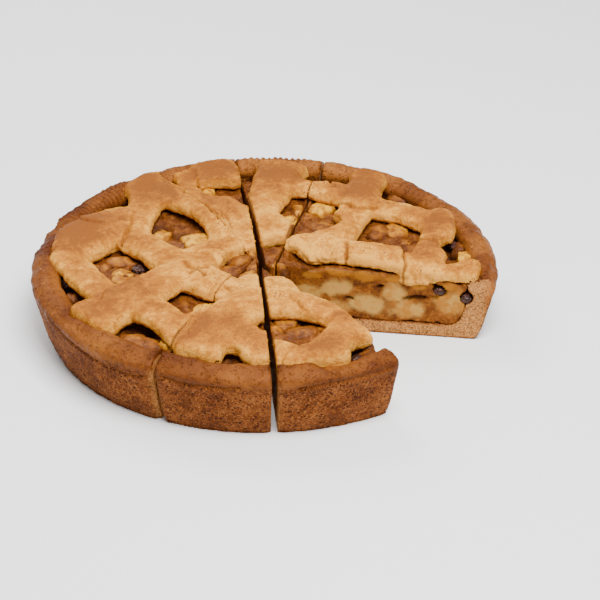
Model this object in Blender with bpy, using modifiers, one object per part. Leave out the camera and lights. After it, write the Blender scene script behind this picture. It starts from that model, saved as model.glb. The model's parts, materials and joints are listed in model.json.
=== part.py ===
"""Lattice apple pie, 28 cm across, cut into slices, with a gap one slice wide: the construction.

Six pieces still stand in the pie's round. Each has a crust, a filling and the lattice on it, cut by the
same two planes. Lengths are in millimetres up to the point where a mesh is made, then in metres. The pie
stands on z = 0 with its middle on the Z axis, and angles run counterclockwise from +X, seen from above.
"""

import math

import bmesh
import bpy
from mathutils import Matrix, Vector, noise

MM = 0.001

# Driving dimensions, mm
RIM_RADIUS = 140.0
BASE_RADIUS = 130.4
RIM_HEIGHT = 42.6
FLOOR = 8.5
WALL_TOP = 15.5
WALL_FOOT = 10.8
FILLING_TOP = 40.3
STRIP_WIDTH = 25.0
STRIP_THICK = 10.0
STRIP_RISE = 8.0
CLEAR = 0.35
FACE_INSET = 1.2
APPLE_INSET = 0.2
APPLE_SUNK = 1.8
FLAT_ANGLE = 1.5

CRUST_STEPS = 72
FILLING_STEPS = 48
FAR = 320.0
CUT_TOP = 90.0
SMALLEST_NODE = 1000.0

# Each piece: its tip, as one point or two, and the directions of its cuts in degrees.
# The gap lies between the end of piece 2 and the start of piece 3.
PIECES = {
    1: (((-6.8, -3.8), (-4.9, -3.8)), 245.5, 273.6),
    2: (((-1.8, -10.0),), 274.1, 305.6),
    3: (((7.4, -8.5),), 350.9, 436.6),
    4: (((6.3, -8.0), (1.3, -8.0)), 76.6, 97.3),
    5: (((-3.0, -6.0),), 96.6, 119.5),
    6: (((-6.8, -1.5),), 119.5, 245.5),
}
GAP_STARTS = 2
GAP_ENDS = 3

# Bumps of the folded rim at the back left: where the notches between them are, in degrees
RIM_NOTCHES = (122.0, 127.5, 147.5, 161.5, 172.0)
NOTCH_DEPTH = 2.6
NOTCH_WIDTH = 2.2

# The lattice: each strip is (x, y, lift over the bed, width) from one end to the other, mm
STRIPS = {
    "back_left_down": ((-77, 102, 1, 22), (-60, 80, 2, 24), (-49, 67, 3, 22), (-37, 55, 3, 21),
                       (-27, 36, 2, 19), (-22, 15, 1, 20), (-18, 0, 0, 16)),
    "back_left_leg": ((-76, 94, 1, 22), (-73, 66, 2, 22), (-77, 47, 1, 18), (-76, 28, 0, 15)),
    "left_lobe": ((-79, 53, 0, 29), (-95, 34, 1, 39), (-111, 16, 1, 35), (-117, 0, 0, 22)),
    "left_down": ((-90, 33, 0, 22), (-72, 9, 2, 22), (-56, -11, 2, 24), (-40, -29, 2, 28),
                  (-25, -41, 0, 26), (-13, -51, 0, 20)),
    "left_up": ((-20, 14, 1, 24), (-41, -12, 2, 27), (-58, -37, 3, 25), (-75, -56, 3, 27),
                (-93, -68, 1, 33), (-103, -78, 0, 30)),
    "front_left_down": ((-119, 4, 0, 21), (-109, -18, 2, 20), (-101, -34, 2, 20), (-89, -50, 2, 22),
                        (-72, -63, 3, 23), (-57, -76, 2, 23), (-48, -91, 1, 20), (-42, -103, 0, 16)),
    "back_rim_end": ((-34, 120, 1, 28), (-27, 101, 2, 28), (-23, 89, 0, 24)),
    "back_rim_side": ((-50, 112, 1, 14), (-47, 97, 0, 13), (-41, 78, 0, 12)),
    "back_down": ((-47, 81, 0, 18), (-30, 57, 2, 29), (-18, 40, 2, 28), (-10, 25, 1, 17),
                  (-8, 10, 0, 9)),
    "back_funnel": ((13, 119, 1, 32), (8, 95, 2, 28), (3, 69, 1, 23), (0, 50, 1, 18), (5, 33, 1, 26),
                    (8, 18, 0, 23)),
    "back_cross": ((12, 99, 0, 22), (28, 87, 1, 18), (42, 84, 1, 22), (54, 74, 0, 20)),
    "right_up": ((68, 109, 1, 21), (64, 88, 3, 22), (61, 68, 3, 23), (56, 50, 2, 22), (48, 30, 2, 23),
                 (41, 15, 1, 26), (31, 2, 1, 27), (23, -8, 0, 20)),
    "right_high": ((60, 64, 0, 19), (75, 57, 1, 19), (88, 49, 3, 19), (99, 41, 3, 20), (108, 32, 1, 18)),
    "right_edge_up": ((106, 54, 1, 16), (106, 32, 3, 19), (103, 10, 3, 20), (96, -9, 1, 22),
                      (92, -19, -3, 24), (89, -29, -9, 22)),
    "right_short": ((96, -21, -1, 15), (106, -19, -1, 15), (118, -17, 0, 16), (131, -21, 2, 15)),
    "right_middle": ((19, 10, 0, 26), (36, 3, 1, 26), (52, -1, 2, 22), (67, -5, 2, 22), (88, -13, 0, 20)),
    "front_up": ((-38, -114, 1, 26), (-30, -95, 2, 30), (-17, -75, 2, 30), (-2, -51, 1, 27)),
    "front_down": ((-42, -72, 0, 20), (-24, -89, 2, 27), (-10, -102, 2, 27), (1, -118, 2, 18)),
    "front_crumb": ((-6, -23, 0, 10), (-10, -38, 0, 15), (-13, -51, 0, 10)),
    "front_right_lobe": ((5, -30, 0, 15), (9, -49, 1, 23), (8, -73, 1, 21)),
    "front_right_down": ((6, -55, 0, 22), (28, -67, 1, 22), (45, -76, 2, 25), (57, -84, 0, 20)),
    "front_right_up": ((50, -75, 0, 22), (48, -96, 2, 27), (37, -113, 2, 27), (27, -127, 2, 25)),
    "front_right_low": ((-2, -110, 1, 22), (12, -114, 1, 22), (20, -126, 1, 18)),
}

# Apple pieces that show in the openings: (x, y, top, half length, half width, turn in degrees)
TOP_CHUNKS = (
    (-40, 26, 43.5, 9, 8, 20), (-62, 33, 42.5, 9, 5, 80), (-52, 22, 41.5, 7, 6, 10),
    (-50, 58, 38, 7, 6, 40), (-85, 2, 42.5, 10, 6, 10), (-85, -17, 42, 8, 7, 70),
    (-97, -4, 41, 6, 5, 0), (-75, -22, 41.5, 8, 5, 30), (-103, -48, 39, 7, 5, 120),
    (-112, -34, 38, 5, 4, 100), (-33, -57, 43, 8, 6, 30), (-50, -50, 41.5, 7, 6, 100),
    (-20, -52, 42, 6, 4, 20), (-75, -88, 40, 9, 6, -20), (-53, -89, 41.5, 9, 5, 70),
    (-65, -92, 39.5, 7, 5, 0), (-70, -69, 36, 6, 5, 0), (-36, 90, 42, 9, 5, 90),
    (-19, 73, 42, 6, 4, 30), (-26, 85, 39.5, 5, 4, 0), (-10, 89, 41, 6, 5, 80),
    (-15, 0, 44.5, 8, 6, 60), (-7, 9, 44, 8, 4, 95), (-18, -17, 44.5, 9, 6, 10), (-6, -7, 44, 7, 5, 80),
    (-9, -21, 43, 8, 6, 60), (5, 0, 44, 6, 6, 0), (9, -7, 43.5, 5, 4, 40), (-12, -32, 41.5, 6, 5, 0),
    (14, 51, 43, 9, 7, 20), (35, 67, 43, 8, 7, 60), (38, 44, 42.5, 9, 6, 10), (17, 44, 41.5, 6, 5, 0),
    (22, 68, 41.5, 8, 4, 100), (27, 56, 41, 7, 6, 50), (70, 35, 43, 9, 7, 30),
    (82, 37, 43.5, 8, 7, 100), (77, 11, 42.5, 7, 6, 20), (86, 21, 41, 6, 5, 70), (68, 18, 41, 6, 5, 20),
    (73, 28, 40, 7, 6, 0), (121, 6, 41, 8, 4, 85), (119, 23, 39.5, 6, 4, 80), (84, 88, 39, 7, 4, 130),
    (97, 74, 39, 6, 4, 130), (36, -81, 43, 6, 5, 30), (12, -73, 42, 6, 5, 0),
    (20, -84, 41.5, 10, 6, 20), (5, -80, 41.5, 6, 5, 0), (59, -95, 41, 6, 5, 60),
    (57, -106, 40, 5, 4, 0), (30, -16, 43.5, 8, 6, 0), (48, -19, 43, 8, 6, 30), (60, -23, 43, 8, 6, 0),
    (72, -23, 42, 6, 5, 40),
)

# Apple pieces cut through at the two faces of the gap: (distance along the cut, height, half sizes, turn)
FACE_CHUNKS = {
    3: ((17, 33, 8, 7, 0), (21, 20, 7, 6, 30), (35, 27, 10, 9, 20), (36, 13, 7, 4, 0), (51, 34, 8, 6, -20),
        (53, 17, 8, 6, 60), (67, 27, 6, 5, 80), (68, 14, 7, 5, 0), (76, 33, 5, 7, 0), (85, 20, 9, 6, 40),
        (97, 33, 7, 4, 10), (103, 18, 8, 6, 70), (113, 26, 7, 10, 10)),
    2: ((18, 30, 8, 6, 10), (31, 19, 8, 7, 60), (40, 33, 7, 5, 0), (50, 18, 9, 6, 20), (60, 32, 9, 7, -10),
        (73, 17, 7, 6, 50), (81, 31, 8, 6, 30), (94, 20, 8, 8, 0), (104, 33, 7, 5, 20), (110, 18, 6, 5, 0)),
}

# Raisins that show: (x, y, height of the middle, half length, half width, half height, turn in degrees)
RAISINS = {
    "raisin_left_rim": (-117, -19, 38, 9, 4, 4, -72),
    "raisin_left": (-74, -7, 40, 6, 5, 4.5, 20),
    "raisin_front": (51, -112, 38.5, 6, 4.5, 4.5, 60),
    "raisin_back_a": (-30, 84, 39, 5, 4, 4, 0),
    "raisin_back_b": (-23, 80, 38, 5, 4, 4, 60),
    "raisin_right": (115, 24, 38, 5, 3.5, 3.5, 80),
    "raisin_cut_wall": (120, -23, 28, 5, 5, 5, 0),
    "raisin_cut": (104, -21, 32, 5, 4, 4, 0),
}

PALE_CRUST = (0.72, 0.45, 0.22)
LATTICE_TAN = (0.66, 0.33, 0.11)
JELLY_BROWN = (0.33, 0.12, 0.035)
RAISIN_BLACK = (0.025, 0.012, 0.014)


def clear_scene():
    """Remove every object, so the pie is all that the scene holds."""
    for obj in list(bpy.data.objects):
        bpy.data.objects.remove(obj, do_unlink=True)


def new_collection(name):
    """A collection of this name, linked to the scene."""
    collection = bpy.data.collections.new(name)
    bpy.context.scene.collection.children.link(collection)
    return collection


def material(name, colour, roughness):
    """A plain Principled material."""
    made = bpy.data.materials.new(name)
    made.use_nodes = True
    shader = made.node_tree.nodes["Principled BSDF"]
    shader.inputs["Base Color"].default_value = (*colour, 1.0)
    shader.inputs["Roughness"].default_value = roughness
    shader.inputs["Metallic"].default_value = 0.0
    return made


def put_in(obj, collection):
    """Link an object to one collection only."""
    for old in list(obj.users_collection):
        old.objects.unlink(obj)
    collection.objects.link(obj)


def helper(name, mesh, tools):
    """An object that only cuts or is joined to others: out of the render, drawn as a wire."""
    obj = bpy.data.objects.new(name, mesh)
    obj.hide_render = True
    obj.display_type = "WIRE"
    tools.objects.link(obj)
    return obj


def settle(obj):
    """Apply the object's modifiers and return it as a plain mesh object."""
    bpy.context.view_layer.update()
    graph = bpy.context.evaluated_depsgraph_get()
    mesh = bpy.data.meshes.new_from_object(obj.evaluated_get(graph))
    old = obj.data
    obj.modifiers.clear()
    obj.data = mesh
    if old.users == 0:
        bpy.data.meshes.remove(old)
    split_faces(mesh)
    return obj


def split_faces(mesh):
    """Split every face into triangles, as a bent face can't be cut cleanly."""
    work = bmesh.new()
    work.from_mesh(mesh)
    bmesh.ops.triangulate(work, faces=work.faces)
    work.to_mesh(mesh)
    work.free()


def tidy_mesh(mesh):
    """Merge the points of a seam and dissolve faces with no area."""
    work = bmesh.new()
    work.from_mesh(mesh)
    bmesh.ops.remove_doubles(work, verts=work.verts, dist=0.002 * MM)
    bmesh.ops.dissolve_degenerate(work, edges=work.edges, dist=0.002 * MM)
    bmesh.ops.recalc_face_normals(work, faces=work.faces)
    bmesh.ops.triangulate(work, faces=work.faces)
    work.to_mesh(mesh)
    work.free()


def combine(obj, operation, other, solver="MANIFOLD"):
    """Boolean the object with another object, or with all the objects of a collection."""
    modifier = obj.modifiers.new(operation.title(), "BOOLEAN")
    modifier.operation = operation
    modifier.solver = solver
    if isinstance(other, bpy.types.Collection):
        modifier.operand_type = "COLLECTION"
        modifier.collection = other
    else:
        modifier.object = other
    return settle(obj)


def remove_all(objects):
    """Delete helper objects and their data."""
    for obj in list(objects):
        bpy.data.objects.remove(obj, do_unlink=True)


def smooth_step(value, start, end):
    """0 before start, 1 past end, and an even rise between them."""
    t = min(1.0, max(0.0, (value - start) / (end - start)))
    return t * t * (3.0 - 2.0 * t)


def angle_between(a, b):
    """The angle from b to a in degrees, from -180 to 180."""
    return (a - b + 180.0) % 360.0 - 180.0


def lattice_bed(x, y):
    """Height that the lattice's tops are measured up from: a low dome that sinks toward the rim."""
    r = math.hypot(x, y)
    dome = 37.5 + 2.0 * math.exp(-(((r - 62.0) / 34.0) ** 2))
    fall = smooth_step(r, 92.0, 122.0)
    return dome * (1.0 - fall) + 36.5 * fall


def filling_height(x, y):
    """Height of the top of the filling: uneven, and lower beside the rim."""
    r = math.hypot(x, y)
    waves = 1.3 * noise.noise(Vector((x / 17.0, y / 17.0, 3.0)))
    middle = 2.5 * math.exp(-((r / 28.0) ** 2))
    return FILLING_TOP + waves + middle - 5.0 * smooth_step(r, 98.0, 124.0)


def turned(name, profile, steps, tools):
    """A closed solid of revolution about Z from (radius, height) points, first and last on the axis."""
    mesh = bpy.data.meshes.new(name)
    points = [(r * MM, 0.0, z * MM) for r, z in profile]
    edges = [(i, i + 1) for i in range(len(points) - 1)]
    mesh.from_pydata(points, edges, [])
    obj = helper(name, mesh, tools)
    screw = obj.modifiers.new("Screw", "SCREW")
    screw.axis = "Z"
    screw.steps = steps
    screw.render_steps = steps
    screw.use_merge_vertices = True
    screw.merge_threshold = 0.0001
    settle(obj)
    tidy_mesh(obj.data)
    return obj


def crust_profile():
    """The crust's section, from the top of its inside floor round the wall to the bottom."""
    inner_top = RIM_RADIUS - WALL_TOP
    inner_foot = BASE_RADIUS - WALL_FOOT
    inner = [(0.0, FLOOR), (inner_foot - 8.0, FLOOR), (inner_foot - 2.5, FLOOR + 1.5),
             (inner_foot, FLOOR + 5.0), (inner_top - 1.2, 27.0), (inner_top - 1.2, 37.0)]
    cap = [(inner_top + 1.5, RIM_HEIGHT - 1.6), (inner_top + 6.0, RIM_HEIGHT),
           (inner_top + 10.5, RIM_HEIGHT - 0.6), (RIM_RADIUS - 0.9, RIM_HEIGHT - 2.8)]
    outer = [(RIM_RADIUS - 0.4, RIM_HEIGHT - 5.5), (RIM_RADIUS - 3.0, 27.0),
             (BASE_RADIUS + 2.8, 11.0), (BASE_RADIUS, 3.2), (BASE_RADIUS - 2.8, 0.0), (0.0, 0.0)]
    return inner + cap + outer


def filling_profile():
    """The filling's section: over its top, down the wall and back along the floor."""
    inner_top = RIM_RADIUS - WALL_TOP
    inner_foot = BASE_RADIUS - WALL_FOOT
    top = [(r, FILLING_TOP) for r in (0.0, 16.0, 34.0, 52.0, 70.0, 88.0, 104.0, 116.0)]
    side = [(inner_top - 1.8, 30.0), (inner_top - 1.8, 27.0), (inner_foot - 0.5, FLOOR + 5.0),
            (inner_foot - 3.1, FLOOR + 2.0), (inner_foot - 8.0, FLOOR + 0.35), (0.0, FLOOR + 0.35)]
    return top + side


def shape_crust(obj):
    """Give the turned crust the rim's uneven height, its bumps and notches."""
    for vertex in obj.data.vertices:
        x, y, z = (value / MM for value in vertex.co)
        r = math.hypot(x, y)
        if r < BASE_RADIUS - WALL_FOOT + 4.0 or z < 1.0:
            continue
        angle = math.degrees(math.atan2(y, x))
        way = Vector((math.cos(math.radians(angle)), math.sin(math.radians(angle)), 0.0))
        high = smooth_step(z, 20.0, 38.0)
        out = r > RIM_RADIUS - 9.0 or z < 25.0
        push = 1.1 * noise.noise(way * 3.0) if out else 0.0
        lift = 1.2 * noise.noise(way * 4.0 + Vector((7.0, 0.0, 0.0)))
        for notch in RIM_NOTCHES:
            near = math.exp(-((angle_between(angle, notch) / NOTCH_WIDTH) ** 2))
            push -= NOTCH_DEPTH * near * (1.0 if out else 0.0)
            lift -= 1.0 * near
        grown = r + push * (0.35 + 0.65 * high)
        vertex.co.x *= grown / r
        vertex.co.y *= grown / r
        vertex.co.z += lift * high * MM


def shape_filling(obj):
    """Raise the turned filling's top to its uneven height."""
    for vertex in obj.data.vertices:
        if abs(vertex.co.z / MM - FILLING_TOP) < 0.01:
            vertex.co.z = filling_height(vertex.co.x / MM, vertex.co.y / MM) * MM


def cut_sides(piece, start_inset, end_inset):
    """The outline in plan of the sector that a piece fills, moved in from its two cuts."""
    tips, start, end = PIECES[piece]
    a = math.radians(start)
    b = math.radians(end)
    along_start = Vector((math.cos(a), math.sin(a)))
    along_end = Vector((math.cos(b), math.sin(b)))
    if len(tips) == 1:
        spread = math.sin(b - a)
        shift = along_start * (end_inset / spread) + along_end * (start_inset / spread)
        near = [Vector(tips[0]) + shift]
    else:
        near = [
            Vector(tips[1]) + Vector((along_end.y, -along_end.x)) * end_inset,
            Vector(tips[0]) + Vector((-along_start.y, along_start.x)) * start_inset,
        ]
    return near + [near[-1] + along_start * FAR, near[0] + along_end * FAR]


def wedge(name, piece, start_inset, end_inset, tools):
    """A tall prism over the sector that a piece fills: a flat outline with an extrude."""
    outline = cut_sides(piece, start_inset, end_inset)
    curve = bpy.data.curves.new(name, "CURVE")
    curve.dimensions = "2D"
    curve.fill_mode = "BOTH"
    curve.extrude = CUT_TOP / 2.0 * MM
    line = curve.splines.new("POLY")
    line.points.add(len(outline) - 1)
    for point, place in zip(line.points, outline):
        point.co = (place.x * MM, place.y * MM, 0.0, 1.0)
    line.use_cyclic_u = True
    obj = bpy.data.objects.new(name, curve)
    tools.objects.link(obj)
    obj.location.z = (CUT_TOP / 2.0 - 10.0) * MM
    return to_mesh(obj, tools)


def to_mesh(obj, tools):
    """Replace a curve object by a mesh helper in world space, closed and facing outwards."""
    bpy.context.view_layer.update()
    graph = bpy.context.evaluated_depsgraph_get()
    mesh = bpy.data.meshes.new_from_object(obj.evaluated_get(graph))
    mesh.transform(obj.matrix_world)
    name = obj.name
    bpy.data.objects.remove(obj, do_unlink=True)
    tidy_mesh(mesh)
    return helper(name, mesh, tools)


def strip_section(name, grow, tools):
    """The dough strip's cross-section as a closed curve: flat below, round above."""
    half = STRIP_WIDTH / 2.0 + grow
    rise = STRIP_THICK / 2.0 + grow
    outline = ((-0.88, -0.5), (0.88, -0.5), (1.0, 0.1), (0.8, 0.74), (0.0, 1.0), (-0.8, 0.74),
               (-1.0, 0.1))
    curve = bpy.data.curves.new(name, "CURVE")
    curve.dimensions = "2D"
    curve.fill_mode = "NONE"
    line = curve.splines.new("POLY")
    line.points.add(len(outline) - 1)
    for point, (across, up) in zip(line.points, outline):
        point.co = (across * half * MM, up * rise * MM, 0.0, 1.0)
    line.use_cyclic_u = True
    obj = bpy.data.objects.new(name, curve)
    obj.hide_render = True
    tools.objects.link(obj)
    return obj


def dough_strip(name, route, section, grow, tools):
    """One strip of the lattice: a curve along its route, as wide as each point says, with capped ends."""
    places = []
    for x, y, lift, width in route:
        height = lattice_bed(x, y) + lift + STRIP_RISE - STRIP_THICK / 2.0
        places.append((Vector((x, y, height)), width / STRIP_WIDTH))
    first = places[0][0] - places[1][0]
    last = places[-1][0] - places[-2][0]
    places[0] = (places[0][0] + first.normalized() * grow, places[0][1])
    places[-1] = (places[-1][0] + last.normalized() * grow, places[-1][1])
    curve = bpy.data.curves.new(name, "CURVE")
    curve.dimensions = "3D"
    curve.twist_mode = "Z_UP"
    curve.bevel_mode = "OBJECT"
    curve.bevel_object = section
    curve.use_fill_caps = True
    curve.resolution_u = 2
    line = curve.splines.new("BEZIER")
    line.bezier_points.add(len(places) - 1)
    for point, (place, scale) in zip(line.bezier_points, places):
        point.co = place * MM
        point.radius = scale
        point.handle_left_type = "AUTO"
        point.handle_right_type = "AUTO"
    obj = bpy.data.objects.new(name, curve)
    tools.objects.link(obj)
    return to_mesh(obj, tools)


def lattice_union(name, grow, tools):
    """All the strips joined into one solid."""
    section = strip_section(name + "_section", grow, tools)
    members = bpy.data.collections.new(name + "_strips")
    bpy.context.scene.collection.children.link(members)
    strips = []
    for strip, route in STRIPS.items():
        strips.append(dough_strip(f"{name}_{strip}", route, section, grow, members))
    base = strips[0]
    put_in(base, tools)
    combine(base, "UNION", members)
    remove_all(members.objects)
    bpy.data.collections.remove(members)
    remove_all([section])
    base.name = name
    return base


def block(name, centre, half_sizes, turn, tools):
    """An apple piece: a cube with rounded corners and uneven sides."""
    work = bmesh.new()
    bmesh.ops.create_cube(work, size=2.0)
    bmesh.ops.bevel(work, geom=work.edges[:] + work.verts[:], offset=0.62, segments=1, affect="EDGES")
    seed = Vector(centre) / 9.0
    for vertex in work.verts:
        vertex.co *= 1.0 + 0.14 * noise.noise(vertex.co * 0.8 + seed)
    for vertex in work.verts:
        vertex.co = Vector([value * half * 1.12 for value, half in zip(vertex.co, half_sizes)])
    place = Matrix.Translation(Vector(centre)) @ Matrix.Rotation(math.radians(turn), 4, "Z")
    bmesh.ops.transform(work, matrix=Matrix.Scale(MM, 4) @ place, verts=work.verts)
    mesh = bpy.data.meshes.new(name)
    bmesh.ops.triangulate(work, faces=work.faces)
    work.to_mesh(mesh)
    work.free()
    return helper(name, mesh, tools)


def in_piece(piece, x, y, margin):
    """Whether a point lies in the sector of a piece, this far or more past its cuts."""
    tips, start, end = PIECES[piece]
    a = math.radians(start)
    b = math.radians(end)
    from_start = Vector((x, y)) - Vector(tips[0])
    from_end = Vector((x, y)) - Vector(tips[-1])
    past_start = from_start.y * math.cos(a) - from_start.x * math.sin(a)
    past_end = from_end.x * math.sin(b) - from_end.y * math.cos(b)
    return past_start > margin and past_end > margin


def chunks_of(piece, tools):
    """The apple pieces that stand out of the filling of one piece of the pie."""
    made = []
    for number, (x, y, top, long, wide, turn) in enumerate(TOP_CHUNKS):
        if in_piece(piece, x, y, -0.6 * wide):
            high = 5.0
            place = (x, y, top - APPLE_SUNK - high)
            made.append(block(f"apple_{number}", place, (long, wide, high), turn, tools))
    tips, start, end = PIECES[piece]
    tip = tips[0]
    direction = math.radians(start if piece == GAP_ENDS else end)
    for number, (far, z, long, high, tilt) in enumerate(FACE_CHUNKS.get(piece, ())):
        x = tip[0] + far * math.cos(direction)
        y = tip[1] + far * math.sin(direction)
        name = f"cut_apple_{number}"
        obj = block(name, (0.0, 0.0, 0.0), (long, 7.0, high), 0.0, tools)
        tilted = Matrix.Rotation(math.radians(tilt), 4, "Y")
        turned_to = Matrix.Rotation(direction, 4, "Z")
        obj.data.transform(Matrix.Translation(Vector((x, y, z)) * MM) @ turned_to @ tilted)
        made.append(obj)
    return made


def cut_pockets(obj, piece, pockets):
    """Take the room of the raisins that lie in or near this piece out of a solid."""
    for name, pocket in pockets.items():
        x, y = RAISINS[name][:2]
        if in_piece(piece, x, y, -8.0):
            combine(obj, "DIFFERENCE", pocket)


def raisin(name, grow, collection):
    """A wrinkled ellipsoid."""
    x, y, z, long, wide, high, turn = RAISINS[name]
    work = bmesh.new()
    bmesh.ops.create_icosphere(work, subdivisions=2, radius=1.0)
    for vertex in work.verts:
        vertex.co *= 1.0 + 0.10 * noise.noise(vertex.co * 1.7 + Vector((x, y, z)) / 5.0)
        sizes = (long + grow, wide + grow, high + grow)
        vertex.co = Vector([value * half for value, half in zip(vertex.co, sizes)])
    place = Matrix.Translation((x, y, z)) @ Matrix.Rotation(math.radians(turn), 4, "Z")
    bmesh.ops.transform(work, matrix=Matrix.Scale(MM, 4) @ place, verts=work.verts)
    mesh = bpy.data.meshes.new(name)
    work.to_mesh(mesh)
    work.free()
    obj = bpy.data.objects.new(name, mesh)
    collection.objects.link(obj)
    return obj


def islands(obj):
    """The loose parts of a mesh as (volume in cubic mm, mesh), largest first."""
    work = bmesh.new()
    work.from_mesh(obj.data)
    work.faces.ensure_lookup_table()
    group = {}
    for face in work.faces:
        if face.index in group:
            continue
        number = len(set(group.values()))
        queue = [face]
        group[face.index] = number
        while queue:
            for edge in queue.pop().edges:
                for other in edge.link_faces:
                    if other.index not in group:
                        group[other.index] = number
                        queue.append(other)
    found = []
    for number in sorted(set(group.values())):
        part = work.copy()
        part.faces.ensure_lookup_table()
        others = [face for face in part.faces if group[face.index] != number]
        bmesh.ops.delete(part, geom=others, context="FACES")
        volume = part.calc_volume(signed=True) / MM**3
        mesh = bpy.data.meshes.new("part")
        part.to_mesh(mesh)
        part.free()
        found.append((volume, mesh))
    work.free()
    return sorted(found, key=lambda item: -item[0])


def merge_flat(mesh):
    """Join the slivers that cutting left on flat faces, then split the faces into triangles."""
    work = bmesh.new()
    work.from_mesh(mesh)
    bmesh.ops.dissolve_limit(
        work, angle_limit=math.radians(FLAT_ANGLE), verts=work.verts, edges=work.edges
    )
    bmesh.ops.triangulate(work, faces=work.faces)
    work.to_mesh(mesh)
    work.free()


def finish(obj, name, look, collection):
    """Keep the largest body of a helper as the node of this name."""
    mesh = islands(obj)[0][1]
    merge_flat(mesh)
    node = bpy.data.objects.new(name, mesh)
    mesh.name = name
    mesh.materials.clear()
    mesh.materials.append(look)
    collection.objects.link(node)
    bpy.data.objects.remove(obj, do_unlink=True)
    return node


def copy_of(obj, name, tools):
    """A copy of a helper with its own mesh."""
    return helper(name, obj.data.copy(), tools)


def make_crust(piece, ring, room, pockets, look, collection, tools):
    """The crust of one piece: floor, wall and rim."""
    obj = copy_of(ring, f"crust_work_{piece}", tools)
    cutter = wedge(f"crust_wedge_{piece}", piece, 0.0, 0.0, tools)
    combine(obj, "INTERSECT", cutter)
    combine(obj, "DIFFERENCE", room)
    cut_pockets(obj, piece, pockets)
    remove_all([cutter])
    return finish(obj, f"crust_{piece}", look, collection)


def make_filling(piece, core, inside, room, pockets, look, collection, tools):
    """The filling of one piece: the set juice and the apple pieces fused to it."""
    obj = copy_of(core, f"filling_work_{piece}", tools)
    start_inset = FACE_INSET if piece == GAP_ENDS else 0.0
    end_inset = FACE_INSET if piece == GAP_STARTS else 0.0
    set_back = wedge(f"filling_wedge_{piece}", piece, start_inset, end_inset, tools)
    combine(obj, "INTERSECT", set_back)
    members = bpy.data.collections.new(f"apples_{piece}")
    bpy.context.scene.collection.children.link(members)
    apples = chunks_of(piece, members)
    joined = apples[0]
    put_in(joined, tools)
    combine(joined, "UNION", members)
    remove_all(members.objects)
    bpy.data.collections.remove(members)
    start_inset = 0.0 if piece == GAP_ENDS else APPLE_INSET
    end_inset = 0.0 if piece == GAP_STARTS else APPLE_INSET
    cutter = wedge(f"filling_cut_{piece}", piece, start_inset, end_inset, tools)
    combine(joined, "INTERSECT", cutter)
    combine(joined, "INTERSECT", inside)
    combine(obj, "UNION", joined)
    combine(obj, "DIFFERENCE", room)
    cut_pockets(obj, piece, pockets)
    remove_all([set_back, cutter, joined])
    return finish(obj, f"filling_{piece}", look, collection)


def make_lattice(piece, strips, pockets, look, collection, tools):
    """The lattice on one piece, each loose run of it a node of its own."""
    obj = copy_of(strips, f"lattice_work_{piece}", tools)
    cutter = wedge(f"lattice_wedge_{piece}", piece, 0.0, 0.0, tools)
    combine(obj, "INTERSECT", cutter)
    cut_pockets(obj, piece, pockets)
    letters = iter("abcdefgh")
    for volume, mesh in islands(obj):
        if volume < SMALLEST_NODE:
            continue
        name = f"lattice_{piece}_{next(letters)}"
        merge_flat(mesh)
        node = bpy.data.objects.new(name, mesh)
        mesh.name = name
        mesh.materials.clear()
        mesh.materials.append(look)
        collection.objects.link(node)
    remove_all([obj, cutter])


def main():
    clear_scene()
    pie = new_collection("apple_pie")
    tools = new_collection("tools")
    crust_look = material("crust", PALE_CRUST, 0.6)
    lattice_look = material("lattice", LATTICE_TAN, 0.55)
    filling_look = material("filling", JELLY_BROWN, 0.3)
    raisin_look = material("raisin", RAISIN_BLACK, 0.35)

    ring = turned("ring", crust_profile(), CRUST_STEPS, tools)
    shape_crust(ring)
    core = turned("core", filling_profile(), FILLING_STEPS, tools)
    shape_filling(core)
    inside_profile = [(0.0, 60.0), (RIM_RADIUS - WALL_TOP - 3.0, 60.0)]
    inside_profile += [(max(0.0, r - 0.2), z + 0.2) for r, z in filling_profile()[-6:]]
    inside = turned("inside", inside_profile, FILLING_STEPS, tools)
    strips = lattice_union("strips", 0.0, tools)
    room = lattice_union("strip_room", CLEAR, tools)

    pockets = {}
    for name in RAISINS:
        pocket = raisin(name, CLEAR, tools)
        pocket.name = "pocket_" + name
        pocket.hide_render = True
        pocket.display_type = "WIRE"
        pockets[name] = pocket

    for piece in PIECES:
        make_crust(piece, ring, room, pockets, crust_look, pie, tools)
        make_filling(piece, core, inside, room, pockets, filling_look, pie, tools)
        make_lattice(piece, strips, pockets, lattice_look, pie, tools)
    for name in RAISINS:
        obj = raisin(name, 0.0, pie)
        obj.data.materials.append(raisin_look)
    remove_all(tools.objects)


if __name__ == "__main__":
    main()
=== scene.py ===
"""Looks of a lattice apple pie, 28 cm across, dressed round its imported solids.

The file is laid out as a Blender add-on and is run as a script. One operator makes each group of pieces:
the crust, the lattice, the filling, the apple, the raisins, the crumbs and the stage. Named lengths and
places are in millimetres, with the pie's middle at x = y = 0 and the ground at z = 0. Angles run
counterclockwise from +X, in degrees, seen from above.
"""

import json
import math
import random

import bmesh
import bpy
import numpy as np
from bpy.props import FloatProperty, FloatVectorProperty, IntProperty, PointerProperty
from mathutils import Matrix, Vector, noise
from mathutils.bvhtree import BVHTree

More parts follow.
